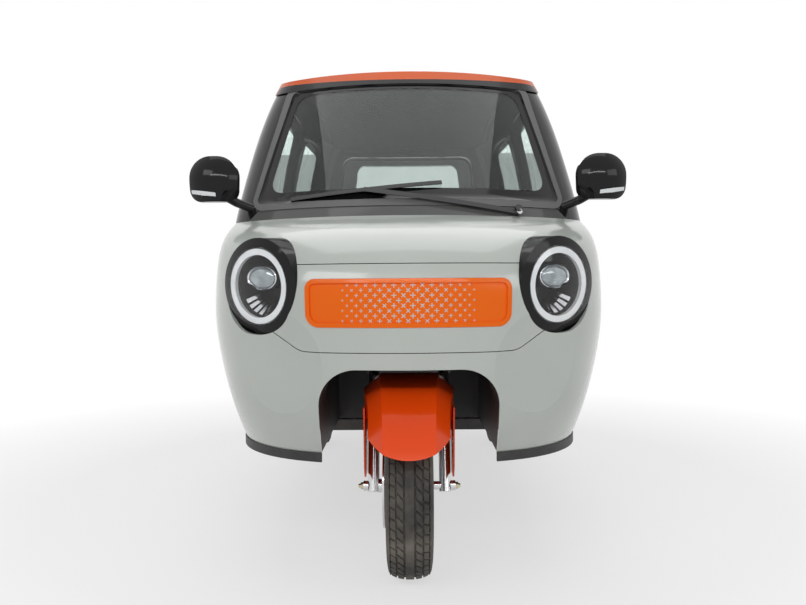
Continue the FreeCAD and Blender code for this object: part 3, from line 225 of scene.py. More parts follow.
def finish(name, rgb, roughness, metallic=0.0, coat=0.0, grain=(900.0, 0.0), bump=0.02,
           dust=(0.5, 0.25), wear=0.0, wear_rgb=(0.5, 0.5, 0.5), rough_swing=0.08, tone_scale=3.0,
           tone_swing=0.05, specular=0.5):
    """Material of one surface: tone, dust, edge wear, roughness and grain."""
    material, net, shader = new_material(name)
    set_sockets(shader, {"Metallic": metallic, "Coat Weight": coat,
                         "Coat Roughness": COAT_ROUGHNESS, "Specular IOR Level": specular})
    shade = net.group(TONE, {"Scale": tone_scale, "Low": 0.0, "High": 1.0})
    colour = net.mix(shade, tone(rgb, 1.0 - tone_swing), tone(rgb, 1.0 + tone_swing))
    rough = net.span(shade, 0.0, 1.0, max(SMOOTHEST, roughness - rough_swing / 2),
                     roughness + rough_swing / 2)
    if wear:
        worn = net.group(WEAR, {"Amount": wear})
        colour = net.mix(worn, colour, (*wear_rgb, 1.0))
        rough = net.math("ADD", rough, net.math("MULTIPLY", worn, WEAR_ROUGHNESS))
    height, amount = dust
    if amount:
        dirt = net.group(DUST, {"Height": height, "Amount": amount})
        colour = net.mix(dirt, colour, DUST_COLOUR)
        rough = net.math("ADD", rough, net.math("MULTIPLY", dirt, DUST_ROUGHNESS))
    net.link(colour, shader.inputs["Base Color"])
    net.link(rough, shader.inputs["Roughness"])
    scale, cells = grain
    net.relief(shader, bump, net.group(GRAIN, {"Scale": scale, "Cells": cells}))
    return material


def glass(name, rgb, smear=0.012):
    """Thin glass: clear, tinted, with faint smears in its polish."""
    material, net, shader = new_material(name)
    set_sockets(shader, {"Transmission Weight": 1.0, "IOR": GLASS_IOR})
    streaks = net.add("ShaderNodeMapping", {"Vector": net.coordinates(), "Scale": GLASS_SMEARS})
    noise = net.noise(streaks.outputs["Vector"], 2.0, 6.0, 0.6)
    net.link(net.mix(net.span(noise, 0.3, 0.7), tone(rgb, 0.96), tone(rgb, 1.04)),
             shader.inputs["Base Color"])
    net.link(net.span(noise, 0.35, 0.75, 0.0, smear), shader.inputs["Roughness"])
    net.relief(shader, 0.01, noise)
    return material


BODY_RGB = (0.53, 0.565, 0.53)
SEAL_RGB = (0.12, 0.125, 0.12)
BLACK_RGB = (0.008, 0.008, 0.009)
ORANGE_RGB = (1.0, 0.16, 0.004)
ROOF_RGB = (0.78, 0.12, 0.02)
MUDGUARD_RGB = (0.95, 0.075, 0.003)

MATERIALS = {
    "body_white": finish("body_paint", BODY_RGB, 0.22, coat=0.6, grain=(1500.0, 0.0), bump=0.03,
                         dust=(0.55, 0.22)),
    "grille_orange": finish("grille_orange", ORANGE_RGB, 0.25, coat=0.1, dust=(0.8, 0.03),
                            specular=0.15),
    "roof_orange": finish("roof_orange", ROOF_RGB, 0.25, coat=0.1, dust=(1.7, 0.03),
                          specular=0.15),
    "mudguard_orange": finish("mudguard_orange", MUDGUARD_RGB, 0.25, coat=0.2, dust=(0.45, 0.06),
                              specular=0.2),
    "gloss_black": finish("gloss_black", BLACK_RGB, 0.08, dust=(0.9, 0.02), specular=0.22),
    "pillar_black": finish("pillar_black", BLACK_RGB, 0.08, dust=(0.9, 0.02), specular=0.22),
    "trim_black": finish("trim_black", (0.016, 0.016, 0.017), 0.52, grain=(700.0, 0.6), bump=0.25,
                         dust=(0.45, 0.16), wear=0.3, wear_rgb=(0.10, 0.10, 0.10)),
    "chassis_black": finish("chassis_paint", (0.025, 0.025, 0.027), 0.42, bump=0.08,
                            grain=(300.0, 0.2), dust=(0.6, 0.5), wear=0.5,
                            wear_rgb=(0.25, 0.14, 0.09)),
    "floor_grey": finish("floor_mat", (0.07, 0.07, 0.075), 0.7, bump=0.3, grain=(260.0, 0.9),
                         dust=(0.7, 0.4)),
    "cast_grey": finish("cast_metal", (0.16, 0.16, 0.17), 0.6, metallic=0.6, bump=0.35,
                        grain=(350.0, 0.4), dust=(0.5, 0.6), wear=0.4, wear_rgb=(0.35, 0.3, 0.26)),
    "battery_case": finish("battery_case", (0.04, 0.045, 0.05), 0.5, bump=0.2, grain=(500.0, 0.5)),
    "seat_leather": finish("seat_leather", (0.05, 0.042, 0.038), 0.42, bump=0.5,
                           grain=(420.0, 0.9), dust=NO_DUST),
    "seal_rubber": finish("seal_rubber", SEAL_RGB, 0.6, bump=0.15, grain=(800.0, 0.3),
                          dust=(0.9, 0.1)),
    "window_glass": glass("window_glass", (0.66, 0.72, 0.70)),
    "clear_glass": glass("lamp_cover", (0.97, 0.98, 0.98), smear=0.0),
    "mirror_glass": finish("mirror_silver", (0.85, 0.87, 0.88), 0.03, metallic=1.0, bump=0.003,
                           rough_swing=0.03, dust=NO_DUST),
    "lamp_white": finish("light_guide", (0.86, 0.88, 0.90), 0.25, coat=0.4, bump=0.05,
                         grain=(900.0, 0.5), dust=NO_DUST),
    "lamp_red": finish("lamp_red", (0.42, 0.008, 0.008), 0.14, coat=0.8, bump=0.1,
                       grain=(260.0, 1.0), dust=(0.9, 0.1)),
    "fork_chrome": finish("plated_steel", (0.62, 0.62, 0.63), 0.14, metallic=1.0, bump=0.02,
                          dust=(0.4, 0.25)),
    "rim_alloy": finish("rim_alloy", (0.42, 0.43, 0.45), 0.32, metallic=0.9, bump=0.08,
                        grain=(600.0, 0.3), dust=(0.5, 0.35)),
    "tyre_rubber": finish("tyre_rubber", (0.028, 0.027, 0.025), 0.72, bump=0.3,
                          grain=(500.0, 0.4), dust=(0.9, 0.55), tone_scale=14.0, tone_swing=0.2),
    "mark_grey": finish("mark_grey", (0.62, 0.58, 0.52), 0.45, bump=0.1, dust=(0.8, 0.1)),
    "reflector": finish("reflector", (0.62, 0.63, 0.65), 0.12, metallic=1.0, bump=0.01,
                        dust=NO_DUST),
    "projector_face": finish("projector_face", (0.30, 0.34, 0.36), 0.06, metallic=0.75, coat=1.0,
                             bump=0.06, grain=(160.0, 1.0), dust=NO_DUST, tone_scale=40.0,
                             tone_swing=0.35),
    "thread": finish("thread", (0.55, 0.20, 0.06), 0.7, bump=0.4, grain=(2500.0, 0.3),
                     dust=NO_DUST),
    # Near-black lining: partly trim colour, partly painted shade that makes the cabin read dark
    # through the glass
    "lining_grey": finish("lining_grey", (0.028, 0.028, 0.028), 0.9, bump=0.08,
                          grain=(900.0, 0.7), dust=NO_DUST),
    "zinc": finish("zinc", (0.55, 0.50, 0.34), 0.32, metallic=1.0, bump=0.08, dust=(0.5, 0.3)),
}


def two_tone(name, rgb, front_of, level, rise, reach):
    """Second colour in front of a place, below a level that rises aside, within a reach."""
    tree = MATERIALS[name].node_tree
    net = Net(tree)
    colour = tree.nodes["Principled BSDF"].inputs["Base Color"]
    first = colour.links[0].from_socket
    place = net.add("ShaderNodeSeparateXYZ", {"Vector": net.coordinates()})
    aside = net.math("ABSOLUTE", place.outputs["X"])
    climb = net.math("MULTIPLY", net.math("MULTIPLY", aside, aside), rise)
    mask = net.math("LESS_THAN", place.outputs["Z"], net.math("ADD", climb, level))
    mask = net.math("MULTIPLY", mask, net.math("LESS_THAN", place.outputs["Y"], front_of))
    mask = net.math("MULTIPLY", mask, net.math("LESS_THAN", aside, reach))
    net.link(net.mix(mask, first, (*rgb, 1.0)), colour)


# The strip below the windscreen is grey, and the lip above it black
two_tone("pillar_black", SEAL_RGB, front_of=-0.74, level=0.9838, rise=0.0, reach=0.470)
two_tone("roof_orange", BLACK_RGB, front_of=-0.40, level=1.406, rise=0.10, reach=0.5)


def dress_nodes():
    """Give each carried-over node the finish of its own slot."""
    slots = {entry["node"]: entry["material_slot"] for entry in frame["record"]["subparts"]}
    slots.update({"side_frames": "pillar_black", "roof_headers": "pillar_black"})
    for name, slot in slots.items():
        piece = bpy.data.objects[name]
        piece.data.materials.clear()
        piece.data.materials.append(MATERIALS[slot])


dress_nodes()


# Helpers that make pieces
def smooth(mesh, angle):
    """Smooth shading, with sharp edges past an angle in degrees."""
    for polygon in mesh.polygons:
        polygon.use_smooth = True
    mesh.set_sharp_from_angle(angle=math.radians(angle))


def mesh_of(name, bm):
    """The plain mesh of a bmesh, which this uses up."""
    mesh = bpy.data.meshes.new(name)
    bm.to_mesh(mesh)
    bm.free()
    return mesh


def placed(name, data):
    """A new object in the scene, at the origin."""
    piece = bpy.data.objects.new(name, data)
    bpy.context.scene.collection.objects.link(piece)
    return piece


def applied(piece):
    """A new mesh of the piece with its modifiers."""
    graph = bpy.context.evaluated_depsgraph_get()
    return bpy.data.meshes.new_from_object(piece.evaluated_get(graph))


def piece_from(name, bm, material, body, angle=35.0):
    """A named piece from a bmesh, welded, facing outwards, riding on a body."""
    bmesh.ops.remove_doubles(bm, verts=bm.verts, dist=WELD)
    bmesh.ops.recalc_face_normals(bm, faces=bm.faces)
    mesh = mesh_of(name, bm)
    mesh.materials.append(MATERIALS[material])
    smooth(mesh, angle)
    piece = placed(name, mesh)
    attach(piece, body)
    return piece


def settled(piece, body, angle=35.0):
    """The piece with its modifiers applied, as a plain mesh that rides on a body."""
    graph = bpy.context.evaluated_depsgraph_get()
    mesh = bpy.data.meshes.new_from_object(piece.evaluated_get(graph),
                                           preserve_all_data_layers=True, depsgraph=graph)
    mesh.name = piece.name
    piece.modifiers.clear()
    piece.data = mesh
    smooth(mesh, angle)
    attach(piece, body)
    return piece


def bridge(bm, rings, closed=True):
    """Quads from each ring of points to the next; a closed ring ends where it began."""
    count = len(rings[0])
    for here, there in zip(rings, rings[1:]):
        for i in range(count if closed else count - 1):
            j = (i + 1) % count
            bm.faces.new((here[i], here[j], there[j], there[i]))


def polar(radius, angle):
    return radius * math.cos(angle), radius * math.sin(angle)


def sided(side, x, y, z):
    """Place or shift on one side of the vehicle."""
    return Vector((side * x, y, z))


def revolve(bm, profile, steps, centre):
    """Sweep a closed profile of (along, radius) points round the X axis through centre."""
    rings = []
    for step in range(steps):
        angle = 2 * math.pi * step / steps
        rings.append([bm.verts.new(centre + Vector((along, *polar(radius, angle))))
                      for along, radius in profile])
    bridge(bm, rings + rings[:1])


def lathe_along(bm, profile, steps, base, direction):
    """Sweep an open profile of (along, radius) points round a direction from base."""
    turn = direction.to_track_quat("Z", "Y").to_matrix()
    rings = []
    for step in range(steps):
        angle = 2 * math.pi * step / steps
        spoke = Vector((math.cos(angle), math.sin(angle), 0))
        rings.append([bm.verts.new(base + turn @ (spoke * radius + Vector((0, 0, along))))
                      for along, radius in profile])
    bridge(bm, rings + rings[:1], closed=False)


def pipe(name, points, radius, material, body, closed=False, sides=4):
    """A round bar or tube along a smooth line."""
    data = bpy.data.curves.new(name, "CURVE")
    data.dimensions = "3D"
    data.bevel_depth = radius
    data.bevel_resolution = sides
    data.use_fill_caps = True
    spline = data.splines.new("NURBS")
    spline.points.add(len(points) - 1)
    for point, place in zip(spline.points, points):
        point.co = (*place, 1.0)
    spline.order_u = 3
    spline.use_endpoint_u = not closed
    spline.use_cyclic_u = closed
    curve = placed(name, data)
    mesh = applied(curve)
    bpy.data.objects.remove(curve)
    bm = bmesh.new()
    bm.from_mesh(mesh)
    return piece_from(name, bm, material, body)


def block(bm, low, high, bevel, turn=None, about=None):
    """A box with chamfered edges, turned about a point."""
    made = bmesh.ops.create_cube(bm, size=1.0)["verts"]
    size = Vector(high) - Vector(low)
    middle = (Vector(high) + Vector(low)) / 2
    for vert in made:
        vert.co = Vector((vert.co.x * size.x, vert.co.y * size.y, vert.co.z * size.z)) + middle
    edges = list(dict.fromkeys(edge for vert in made for edge in vert.link_edges))
    bevelled = bmesh.ops.bevel(bm, geom=edges, offset=bevel, segments=2, affect="EDGES",
                               profile=0.7)["verts"]
    faces = dict.fromkeys(face for vert in bevelled for face in vert.link_faces)
    if turn is not None:
        centre = middle if about is None else about
        for vert in dict.fromkeys(vert for face in faces for vert in face.verts):
            vert.co = turn @ (vert.co - centre) + centre


def surface_of(name):
    """Search tree of an object's surface."""
    mesh = bpy.data.objects[name].data
    return BVHTree.FromPolygons([vert.co for vert in mesh.vertices],
                                [face.vertices for face in mesh.polygons])


def met(skin, start, toward):
    """Place and facing of a surface where a line first meets it, or None twice."""
    return skin.ray_cast(Vector(start), Vector(toward))[:2]


def behind(distance):
    """Y of a place this far behind the front axle."""
    return FRONT_AXLE.y + distance


# What repeats is made with geometry nodes
def new_tree(name, inputs):
    """A tree that works on geometry; returns it, its net and the outputs of its start."""
    tree = bpy.data.node_groups.new(name, "GeometryNodeTree")
    for label, kind in (("Geometry", GEOMETRY), *inputs, ("Finish", MATERIAL)):
        tree.interface.new_socket(label, in_out="INPUT", socket_type=kind)
    tree.interface.new_socket("Geometry", in_out="OUTPUT", socket_type=GEOMETRY)
    net = Net(tree)
    return tree, net, net.add("NodeGroupInput").outputs


def close_tree(net, copies, material):
    """Make the copies real, give them their finish and end the tree."""
    real = net.add("GeometryNodeRealizeInstances", {"Geometry": copies.outputs[0]})
    done = net.add("GeometryNodeSetMaterial", {"Geometry": real.outputs[0], "Material": material})
    net.link(done.outputs[0], net.add("NodeGroupOutput").inputs["Geometry"])


def run_tree(piece, tree, values, body, angle):
    """Put the piece through the tree with these values, and keep what comes out."""
    modifier = piece.modifiers.new("copies", "NODES")
    modifier.node_group = tree
    for item in tree.interface.items_tree:
        if item.in_out == "INPUT" and item.name in values:
            modifier[item.identifier] = values[item.name]
    return settled(piece, body, angle)


def make_ring_tree():
    """Copies of one pitch of a wheel, turned round the X axis through its centre."""
    tree, net, start = new_tree("pitches_in_a_ring", (("Count", "NodeSocketInt"),
                                                      ("Centre", VECTOR)))
    points = net.add("GeometryNodePoints", {"Count": start["Count"], "Position": start["Centre"]})
    index = net.add("GeometryNodeInputIndex").outputs[0]
    turn = net.math("MULTIPLY", net.math("DIVIDE", index, start["Count"]), 2 * math.pi)
    angles = net.add("ShaderNodeCombineXYZ", {"X": turn})
    copies = net.add("GeometryNodeInstanceOnPoints", {
        "Points": points.outputs[0], "Instance": start["Geometry"],
        "Rotation": angles.outputs[0]})
    close_tree(net, copies, start["Finish"])
    return tree


def make_scatter_tree():
    """Copies of one mark on points that carry their facing, direction and size."""
    tree, net, start = new_tree("marks_on_points", (("Mark", "NodeSocketObject"),
                                                    ("Scale", FLOAT)))
    facing, along, size = (
        net.add("GeometryNodeInputNamedAttribute", {"Name": label}, data_type=kind).outputs[0]
        for label, kind in (("facing", "FLOAT_VECTOR"), ("along", "FLOAT_VECTOR"),
                            ("size", "FLOAT")))
    turn = net.add("FunctionNodeAxesToRotation", {0: facing, 1: along}, primary_axis="Z",
                   secondary_axis="X")
    mark = net.add("GeometryNodeObjectInfo", {"Object": start["Mark"]})
    copies = net.add("GeometryNodeInstanceOnPoints", {
        "Points": start["Geometry"], "Instance": mark.outputs["Geometry"],
        "Rotation": turn.outputs[0], "Scale": net.math("MULTIPLY", size, start["Scale"])})
    close_tree(net, copies, start["Finish"])
    return tree


RING = make_ring_tree()
SCATTER = make_scatter_tree()


def ring_array(name, bm, count, centre, material, body, angle):
    """Repeat one pitch of a wheel round the X axis through centre."""
    bmesh.ops.recalc_face_normals(bm, faces=bm.faces)
    for vert in bm.verts:
        vert.co -= centre
    values = {"Count": count, "Centre": centre, "Finish": MATERIALS[material]}
    return run_tree(placed(name, mesh_of(name, bm)), RING, values, body, angle)


def scatter(name, mark, places, material, body):
    """Put a copy of the mark, made round the origin, on each (place, facing, along, size)."""
    bmesh.ops.recalc_face_normals(mark, faces=mark.faces)
    mark_piece = bpy.data.objects.new(name + "_mark", mesh_of(name + "_mark", mark))
    mesh = bpy.data.meshes.new(name)
    mesh.from_pydata([place for place, facing, along, size in places], [], [])
    for column, label in ((1, "facing"), (2, "along")):
        attribute = mesh.attributes.new(label, "FLOAT_VECTOR", "POINT")
        for point, row in zip(attribute.data, places):
            point.vector = row[column]
    attribute = mesh.attributes.new("size", "FLOAT", "POINT")
    for point, row in zip(attribute.data, places):
        point.value = row[3]
    values = {"Mark": mark_piece, "Scale": 1.0, "Finish": MATERIALS[material]}
    run_tree(placed(name, mesh), SCATTER, values, body, 35.0)
    bpy.data.objects.remove(mark_piece)


# Tyres: a grooved carcass with a ring of tread blocks
GROOVE = 0.0052
CROWN_DROP = 0.0105
CROWN_EDGE = 0.8
CROWN_POWER = 2.6
CARCASS_STEPS = 144
TYRE_WALL = [
    # share of the half width and radius, from the bead to the edge of the tread
    (0.76, RIM_RADIUS - 0.001), (0.80, RIM_RADIUS + 0.004), (0.86, RIM_RADIUS + 0.008),
    (0.93, 0.150), (0.985, 0.162), (1.0, 0.172), (1.0, 0.182), (0.985, 0.196), (0.95, 0.209),
    (0.90, 0.2175), (0.86, 0.2215), (0.82, 0.2235),
]
TREAD_RIBS = [
    # inner and outer edge across half the width, slant in degrees, share of the pitch, pitch offset
    (-0.52, -0.25, 3.4, 0.80, 0.0),
    (0.25, 0.52, 3.4, 0.80, 0.5),
    (-0.80, -0.57, 1.2, 0.84, 0.25),
    (0.57, 0.80, 1.2, 0.84, 0.75),
]
TREAD_PITCHES = 54
TREAD_LEVELS = ((-0.0006 - GROOVE, 0.0), (-0.0007, 0.0006), (0.0, 0.0014))
BLOCK_STEPS = 3
SHOULDER_SPAN = (0.15, 0.55)
SHOULDER_RIB = ((0.845, 0.2245), (0.93, 0.2145), (0.925, 0.2125), (0.835, 0.2215))


def crown_radius(share):
    """Radius of the tread at a share of the half width."""
    return WHEEL_RADIUS - CROWN_DROP * abs(share) ** CROWN_POWER / CROWN_EDGE ** CROWN_POWER


def on_wheel(centre, x, radius, angle):
    """Place on a wheel, at an angle from its top towards the front."""
    return centre + Vector((x, -radius * math.sin(angle), radius * math.cos(angle)))


def make_tyre(node, centre, body):
    low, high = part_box(node)
    half = (high[0] - low[0]) / 2
    points = TYRE_WALL + [(share, crown_radius(share) - GROOVE)
                          for share in (0.80, 0.7, 0.55, 0.4, 0.25)]
    points += [(0.185, crown_radius(0.18) - GROOVE), (0.175, crown_radius(0.17)),
               (0.06, crown_radius(0.05))]
    profile = [(-share * half, radius) for share, radius in points]
    profile += [(share * half, radius) for share, radius in points[::-1]]
    bm = bmesh.new()
    revolve(bm, profile, CARCASS_STEPS, centre)
    carcass = piece_from(node + "_carcass", bm, "tyre_rubber", body, 50.0)
    bm = bmesh.new()
    pitch = 2 * math.pi / TREAD_PITCHES
    for inner, outer, slant, fill, offset in TREAD_RIBS:
        add_tread_block(bm, centre, half, (inner, outer), math.radians(slant), pitch * fill,
                        pitch * offset)
    add_shoulder_ribs(bm, centre, half, pitch)
    tread = ring_array(node + "_tread", bm, TREAD_PITCHES, centre, "tyre_rubber", body, 30.0)
    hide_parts(node)
    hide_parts(node)


def add_tread_block(bm, centre, half, edges, slant, length, offset):
    """One slanted block with sloped walls, standing on the groove's floor."""
    inner, outer = edges
    grid = []
    for lift, inset in TREAD_LEVELS:
        start = offset + inset / WHEEL_RADIUS
        stop = offset + length - inset / WHEEL_RADIUS
        steps = [(stop - start) * i / BLOCK_STEPS for i in range(BLOCK_STEPS + 1)]
        around = [(inner + inset / half, start + step) for step in steps]
        around += [(outer - inset / half, stop + slant - step) for step in steps]
        places = [on_wheel(centre, share * half, crown_radius(share) + lift, angle)
                  for share, angle in around]
        grid.append([bm.verts.new(place) for place in places])
    bridge(bm, grid)
    count = len(grid[0])
    for cap in (grid[-1], grid[0]):
        for i in range(BLOCK_STEPS):
            bm.faces.new((cap[i], cap[i + 1], cap[count - 2 - i], cap[count - 1 - i]))


def add_shoulder_ribs(bm, centre, half, pitch):
    """Short radial ribs on both shoulders, below the tread."""
    for side in (-1, 1):
        ends = [[bm.verts.new(on_wheel(centre, side * share * half, radius, turn * pitch))
                 for share, radius in SHOULDER_RIB] for turn in SHOULDER_SPAN]
        bridge(bm, ends)
        for end in ends:
            bm.faces.new(end)


make_tyre("front_tyre", FRONT_AXLE, "front_wheel")
make_tyre("rear_tyre_right", REAR_AXLE + Vector((REAR_TRACK / 2, 0, 0)), "rear_wheel_right")
make_tyre("rear_tyre_left", REAR_AXLE - Vector((REAR_TRACK / 2, 0, 0)), "rear_wheel_left")


# Grille: rows of crosses that shrink towards both ends
GRILLE_ROWS = 8
GRILLE_ROW_PITCH = 0.0122
GRILLE_COLUMN_PITCH = 0.0225
GRILLE_MIDDLE_Z = 0.7265
GRILLE_REACH = 0.166
MARK_ARM = 0.0066
MARK_WIDTH = 0.0012
MARK_PROUD = 0.0004
MARK_FOOT = -0.0012
MARK_SHRINK = 0.6
MARK_SHRINK_POWER = 1.8


def cross_mark():
    """A flat cross with a thin rim, centred on the origin and facing +Z."""
    bm = bmesh.new()
    arm, wide = MARK_ARM, MARK_WIDTH
    outline = [(wide, wide), (arm, wide), (arm, -wide), (wide, -wide), (wide, -arm), (-wide, -arm),
               (-wide, -wide), (-arm, -wide), (-arm, wide), (-wide, wide), (-wide, arm), (wide, arm)]
    top, low = ([bm.verts.new((x, y, z)) for x, y in outline] for z in (MARK_PROUD, MARK_FOOT))
    bm.faces.new(top[::3])
    for first in range(0, 12, 3):
        bm.faces.new([top[(first + k) % 12] for k in range(4)])
    bridge(bm, [top, low])
    return bm


def make_grille_marks():
    skin = surface_of("grille_insert")
    places = []
    columns = int(GRILLE_REACH / GRILLE_COLUMN_PITCH) + 1
    for row in range(GRILLE_ROWS):
        z = GRILLE_MIDDLE_Z + (row - (GRILLE_ROWS - 1) / 2) * GRILLE_ROW_PITCH
        shift = 0.5 * (row % 2)
        for column in range(-columns, columns + 1):
            x = (column + shift) * GRILLE_COLUMN_PITCH
            if abs(x) > GRILLE_REACH:
                continue
            spot, facing = met(skin, (x, AHEAD, z), BACKWARD)
            if spot is None:
                continue
            slanted = (column + row) % 2 == 0
            along = Vector((1, 0, 1)) if slanted else Vector((1, 0, 0))
            size = 1.0 - MARK_SHRINK * (abs(x) / GRILLE_REACH) ** MARK_SHRINK_POWER
            places.append((spot, facing, along, size))
    scatter("grille_marks", cross_mark(), places, "mark_grey", "chassis")


make_grille_marks()


# Windscreen: the black printed border of the glass. Tailgate: the seal in its gap
CORNER_STEPS = 8
EDGE_STEPS = 16
# Outlines in the front view: half width and height of the lower corners, the same of the upper
# ones, and the size of the rounded corners
BORDER_OUTER = (0.4425, 1.004, 0.366, 1.391, 0.03)
BORDER_INNER = (0.404, 1.036, 0.342, 1.372, 0.05)
GATE_INSIDE = (0.413, 0.622, 0.310, 1.402, 0.06)
GATE_SEAL = (0.428, 0.607, 0.325, 1.412, 0.06)
BORDER_RINGS = 5
BORDER_PROUD = 0.0006
BORDER_FOOT = 0.007
BORDER_FLARE = 1.004
CABIN_MIDDLE_Y = 0.3
GATE_SEAL_RADIUS = 0.007
GATE_SEAL_LIFT = 0.006


def rounded_frame(bottom_half, bottom, top_half, top, corner):
    """Points of an outline with four rounded corners, as (x, z)."""
    corners = [(-bottom_half, bottom), (bottom_half, bottom), (top_half, top), (-top_half, top)]
    points = []
    for index, (x, z) in enumerate(corners):
        here = Vector((x, z))
        before = Vector(corners[index - 1])
        after = Vector(corners[(index + 1) % 4])
        start = here + (before - here).normalized() * corner
        stop = here + (after - here).normalized() * corner
        for k in range(CORNER_STEPS + 1):
            t = k / CORNER_STEPS
            points.append(start.lerp(here, t).lerp(here.lerp(stop, t), t))
        far = after + (here - after).normalized() * corner
        for k in range(1, EDGE_STEPS):
            points.append(stop.lerp(far, k / EDGE_STEPS))
    return points


def make_windscreen_border():
    """A thin sheet just in front of the glass, whose outer edge turns towards the seal."""
    skin = surface_of("windscreen")
    outer = rounded_frame(*BORDER_OUTER)
    inner = rounded_frame(*BORDER_INNER)
    bm = bmesh.new()
    rings = []
    for step in range(BORDER_RINGS):
        share = step / (BORDER_RINGS - 1)
        ring = []
        for index, (first, second) in enumerate(zip(inner, outer)):
            x = first[0] + (second[0] - first[0]) * share
            z = first[1] + (second[1] - first[1]) * share
            spot, facing = met(skin, (x, AHEAD, z), BACKWARD)
            if spot is None:
                spot = skin.find_nearest(Vector((x, rings[-1][index].co.y, z)))[0]
            proud = BORDER_PROUD
            if step == BORDER_RINGS - 1:
                spot.x *= BORDER_FLARE
                proud = BORDER_FOOT
            ring.append(bm.verts.new(spot - Vector((0, proud, 0))))
        rings.append(ring)
    for here, there in zip(rings, rings[1:]):
        bridge(bm, [there, here])
    piece_from("windscreen_border", bm, "gloss_black", "chassis")


def make_tailgate_seal():
    """Rubber tube inside the body that closes the gap round the tailgate."""
    skin = surface_of("tailgate")
    points = []
    for (x, z), (across, up) in zip(rounded_frame(*GATE_INSIDE), rounded_frame(*GATE_SEAL)):
        spot, facing = met(skin, (x, CABIN_MIDDLE_Y, z), BACKWARD)
        if spot is not None:
            points.append(Vector((across, spot.y - GATE_SEAL_LIFT, up)))
    pipe("tailgate_seal", points, GATE_SEAL_RADIUS, "seal_rubber", "chassis", closed=True, sides=6)


make_windscreen_border()
make_tailgate_seal()


# Headlamps: what shows under the clear covers
LAMP_CENTRE = Vector((0.376, -1.022, 0.768))
LAMP_YAW = math.radians(33.0)
LAMP_DROP = math.radians(3.0)
MASK_PROFILE = [(-0.0735, 0.001), (-0.0735, 0.046), (-0.050, 0.066), (-0.012, 0.0785),
                (-0.0055, 0.0945)]
MASK_STEPS = 72
LOUVRES = 9
LOUVRE_FIRST = 212.0
LOUVRE_PITCH = 14.5
LOUVRE_SPREAD = math.radians(4.6)
LOUVRE_CORNERS = (
    # turn from the louvre's middle, radius, place along the lamp's axis
    (-LOUVRE_SPREAD, 0.050, -0.044), (LOUVRE_SPREAD, 0.050, -0.044),
    (LOUVRE_SPREAD, 0.0755, -0.020), (-LOUVRE_SPREAD, 0.0755, -0.020),
)
PROJECTOR_RISE = 0.020
PROJECTOR_FRONT = -0.014
PROJECTOR_HALF_WIDTH = 0.050
PROJECTOR_HALF_HEIGHT = 0.030
PROJECTOR_STEPS = 64
PROJECTOR_RIM = ((-0.004, 1.012), (0.003, 1.012), (0.0045, 0.97), (0.002, 0.90), (0.0004, 0.88))
DOME_FOOT = 0.0006
DOME_HEIGHT = 0.014
DOME_SHARE = 0.89
DOME_RINGS = 10


def lamp_frame(side):
    """Matrix from the lamp's own axes to the vehicle's: X sideways, Y up, Z along its axis."""
    axis = Vector((side * math.sin(LAMP_YAW) * math.cos(LAMP_DROP),
                   -math.cos(LAMP_YAW) * math.cos(LAMP_DROP), -math.sin(LAMP_DROP)))
    across = UP.cross(axis).normalized()
    turn = Matrix((across, axis.cross(across), axis)).transposed().to_4x4()
    return Matrix.Translation(sided(side, *LAMP_CENTRE)) @ turn


def oval_lathe(bm, profile, place):
    """Rings of a profile of (along, share of the oval), on the projector's oval."""
    rings = []
    for along, share in profile:
        ring = []
        for k in range(PROJECTOR_STEPS):
            angle = math.tau * k / PROJECTOR_STEPS
            x = PROJECTOR_HALF_WIDTH * share * math.cos(angle)
            y = PROJECTOR_RISE + PROJECTOR_HALF_HEIGHT * share * math.sin(angle)
            ring.append(bm.verts.new(place @ Vector((x, y, along))))
        rings.append(ring)
    bridge(bm, rings)


def make_lamp_mask(label, place):
    """Dark dish between the light guide and the projector, with polished louvres low down."""
    bm = bmesh.new()
    lathe_along(bm, MASK_PROFILE, MASK_STEPS, place.translation, place.to_3x3() @ UP)
    piece_from("lamp_mask_" + label, bm, "gloss_black", "chassis")
    bm = bmesh.new()
    for k in range(LOUVRES):
        angle = math.radians(LOUVRE_FIRST + LOUVRE_PITCH * k)
        bm.faces.new([bm.verts.new(place @ Vector((*polar(radius, angle + turn), along)))
                      for turn, radius, along in LOUVRE_CORNERS])
    piece_from("lamp_louvres_" + label, bm, "reflector", "chassis")


def make_projector(label, place):
    """A bright rim round a domed lens."""
    bm = bmesh.new()
    oval_lathe(bm, [(PROJECTOR_FRONT + along, share) for along, share in PROJECTOR_RIM], place)
    piece_from("projector_rim_" + label, bm, "reflector", "chassis")
    bm = bmesh.new()
    dome = []
    for k in range(DOME_RINGS + 1):
        angle = math.pi / 2 * k / DOME_RINGS
        dome.append((PROJECTOR_FRONT + DOME_FOOT + DOME_HEIGHT * math.sin(angle),
                     max(0.002, DOME_SHARE * math.cos(angle))))
    oval_lathe(bm, dome, place)
    piece_from("projector_" + label, bm, "projector_face", "chassis")


for side, label in SIDES:
    make_lamp_mask(label, lamp_frame(side))
    make_projector(label, lamp_frame(side))


# Mirrors: a pale indicator let into each shell, low and outwards
MIRROR_BALL = Vector((0.558, -0.664, 1.074))
MIRROR_BALL_RADIUS = 0.105
INDICATOR_STEPS = 12
INDICATOR_START = -0.008
INDICATOR_LENGTH = 0.074
INDICATOR_RISE = 0.010
INDICATOR_EDGES = ((-0.050, 0.004), (-0.038, 0.0))
INDICATOR_LIFTS = (0.0003, 0.0022)


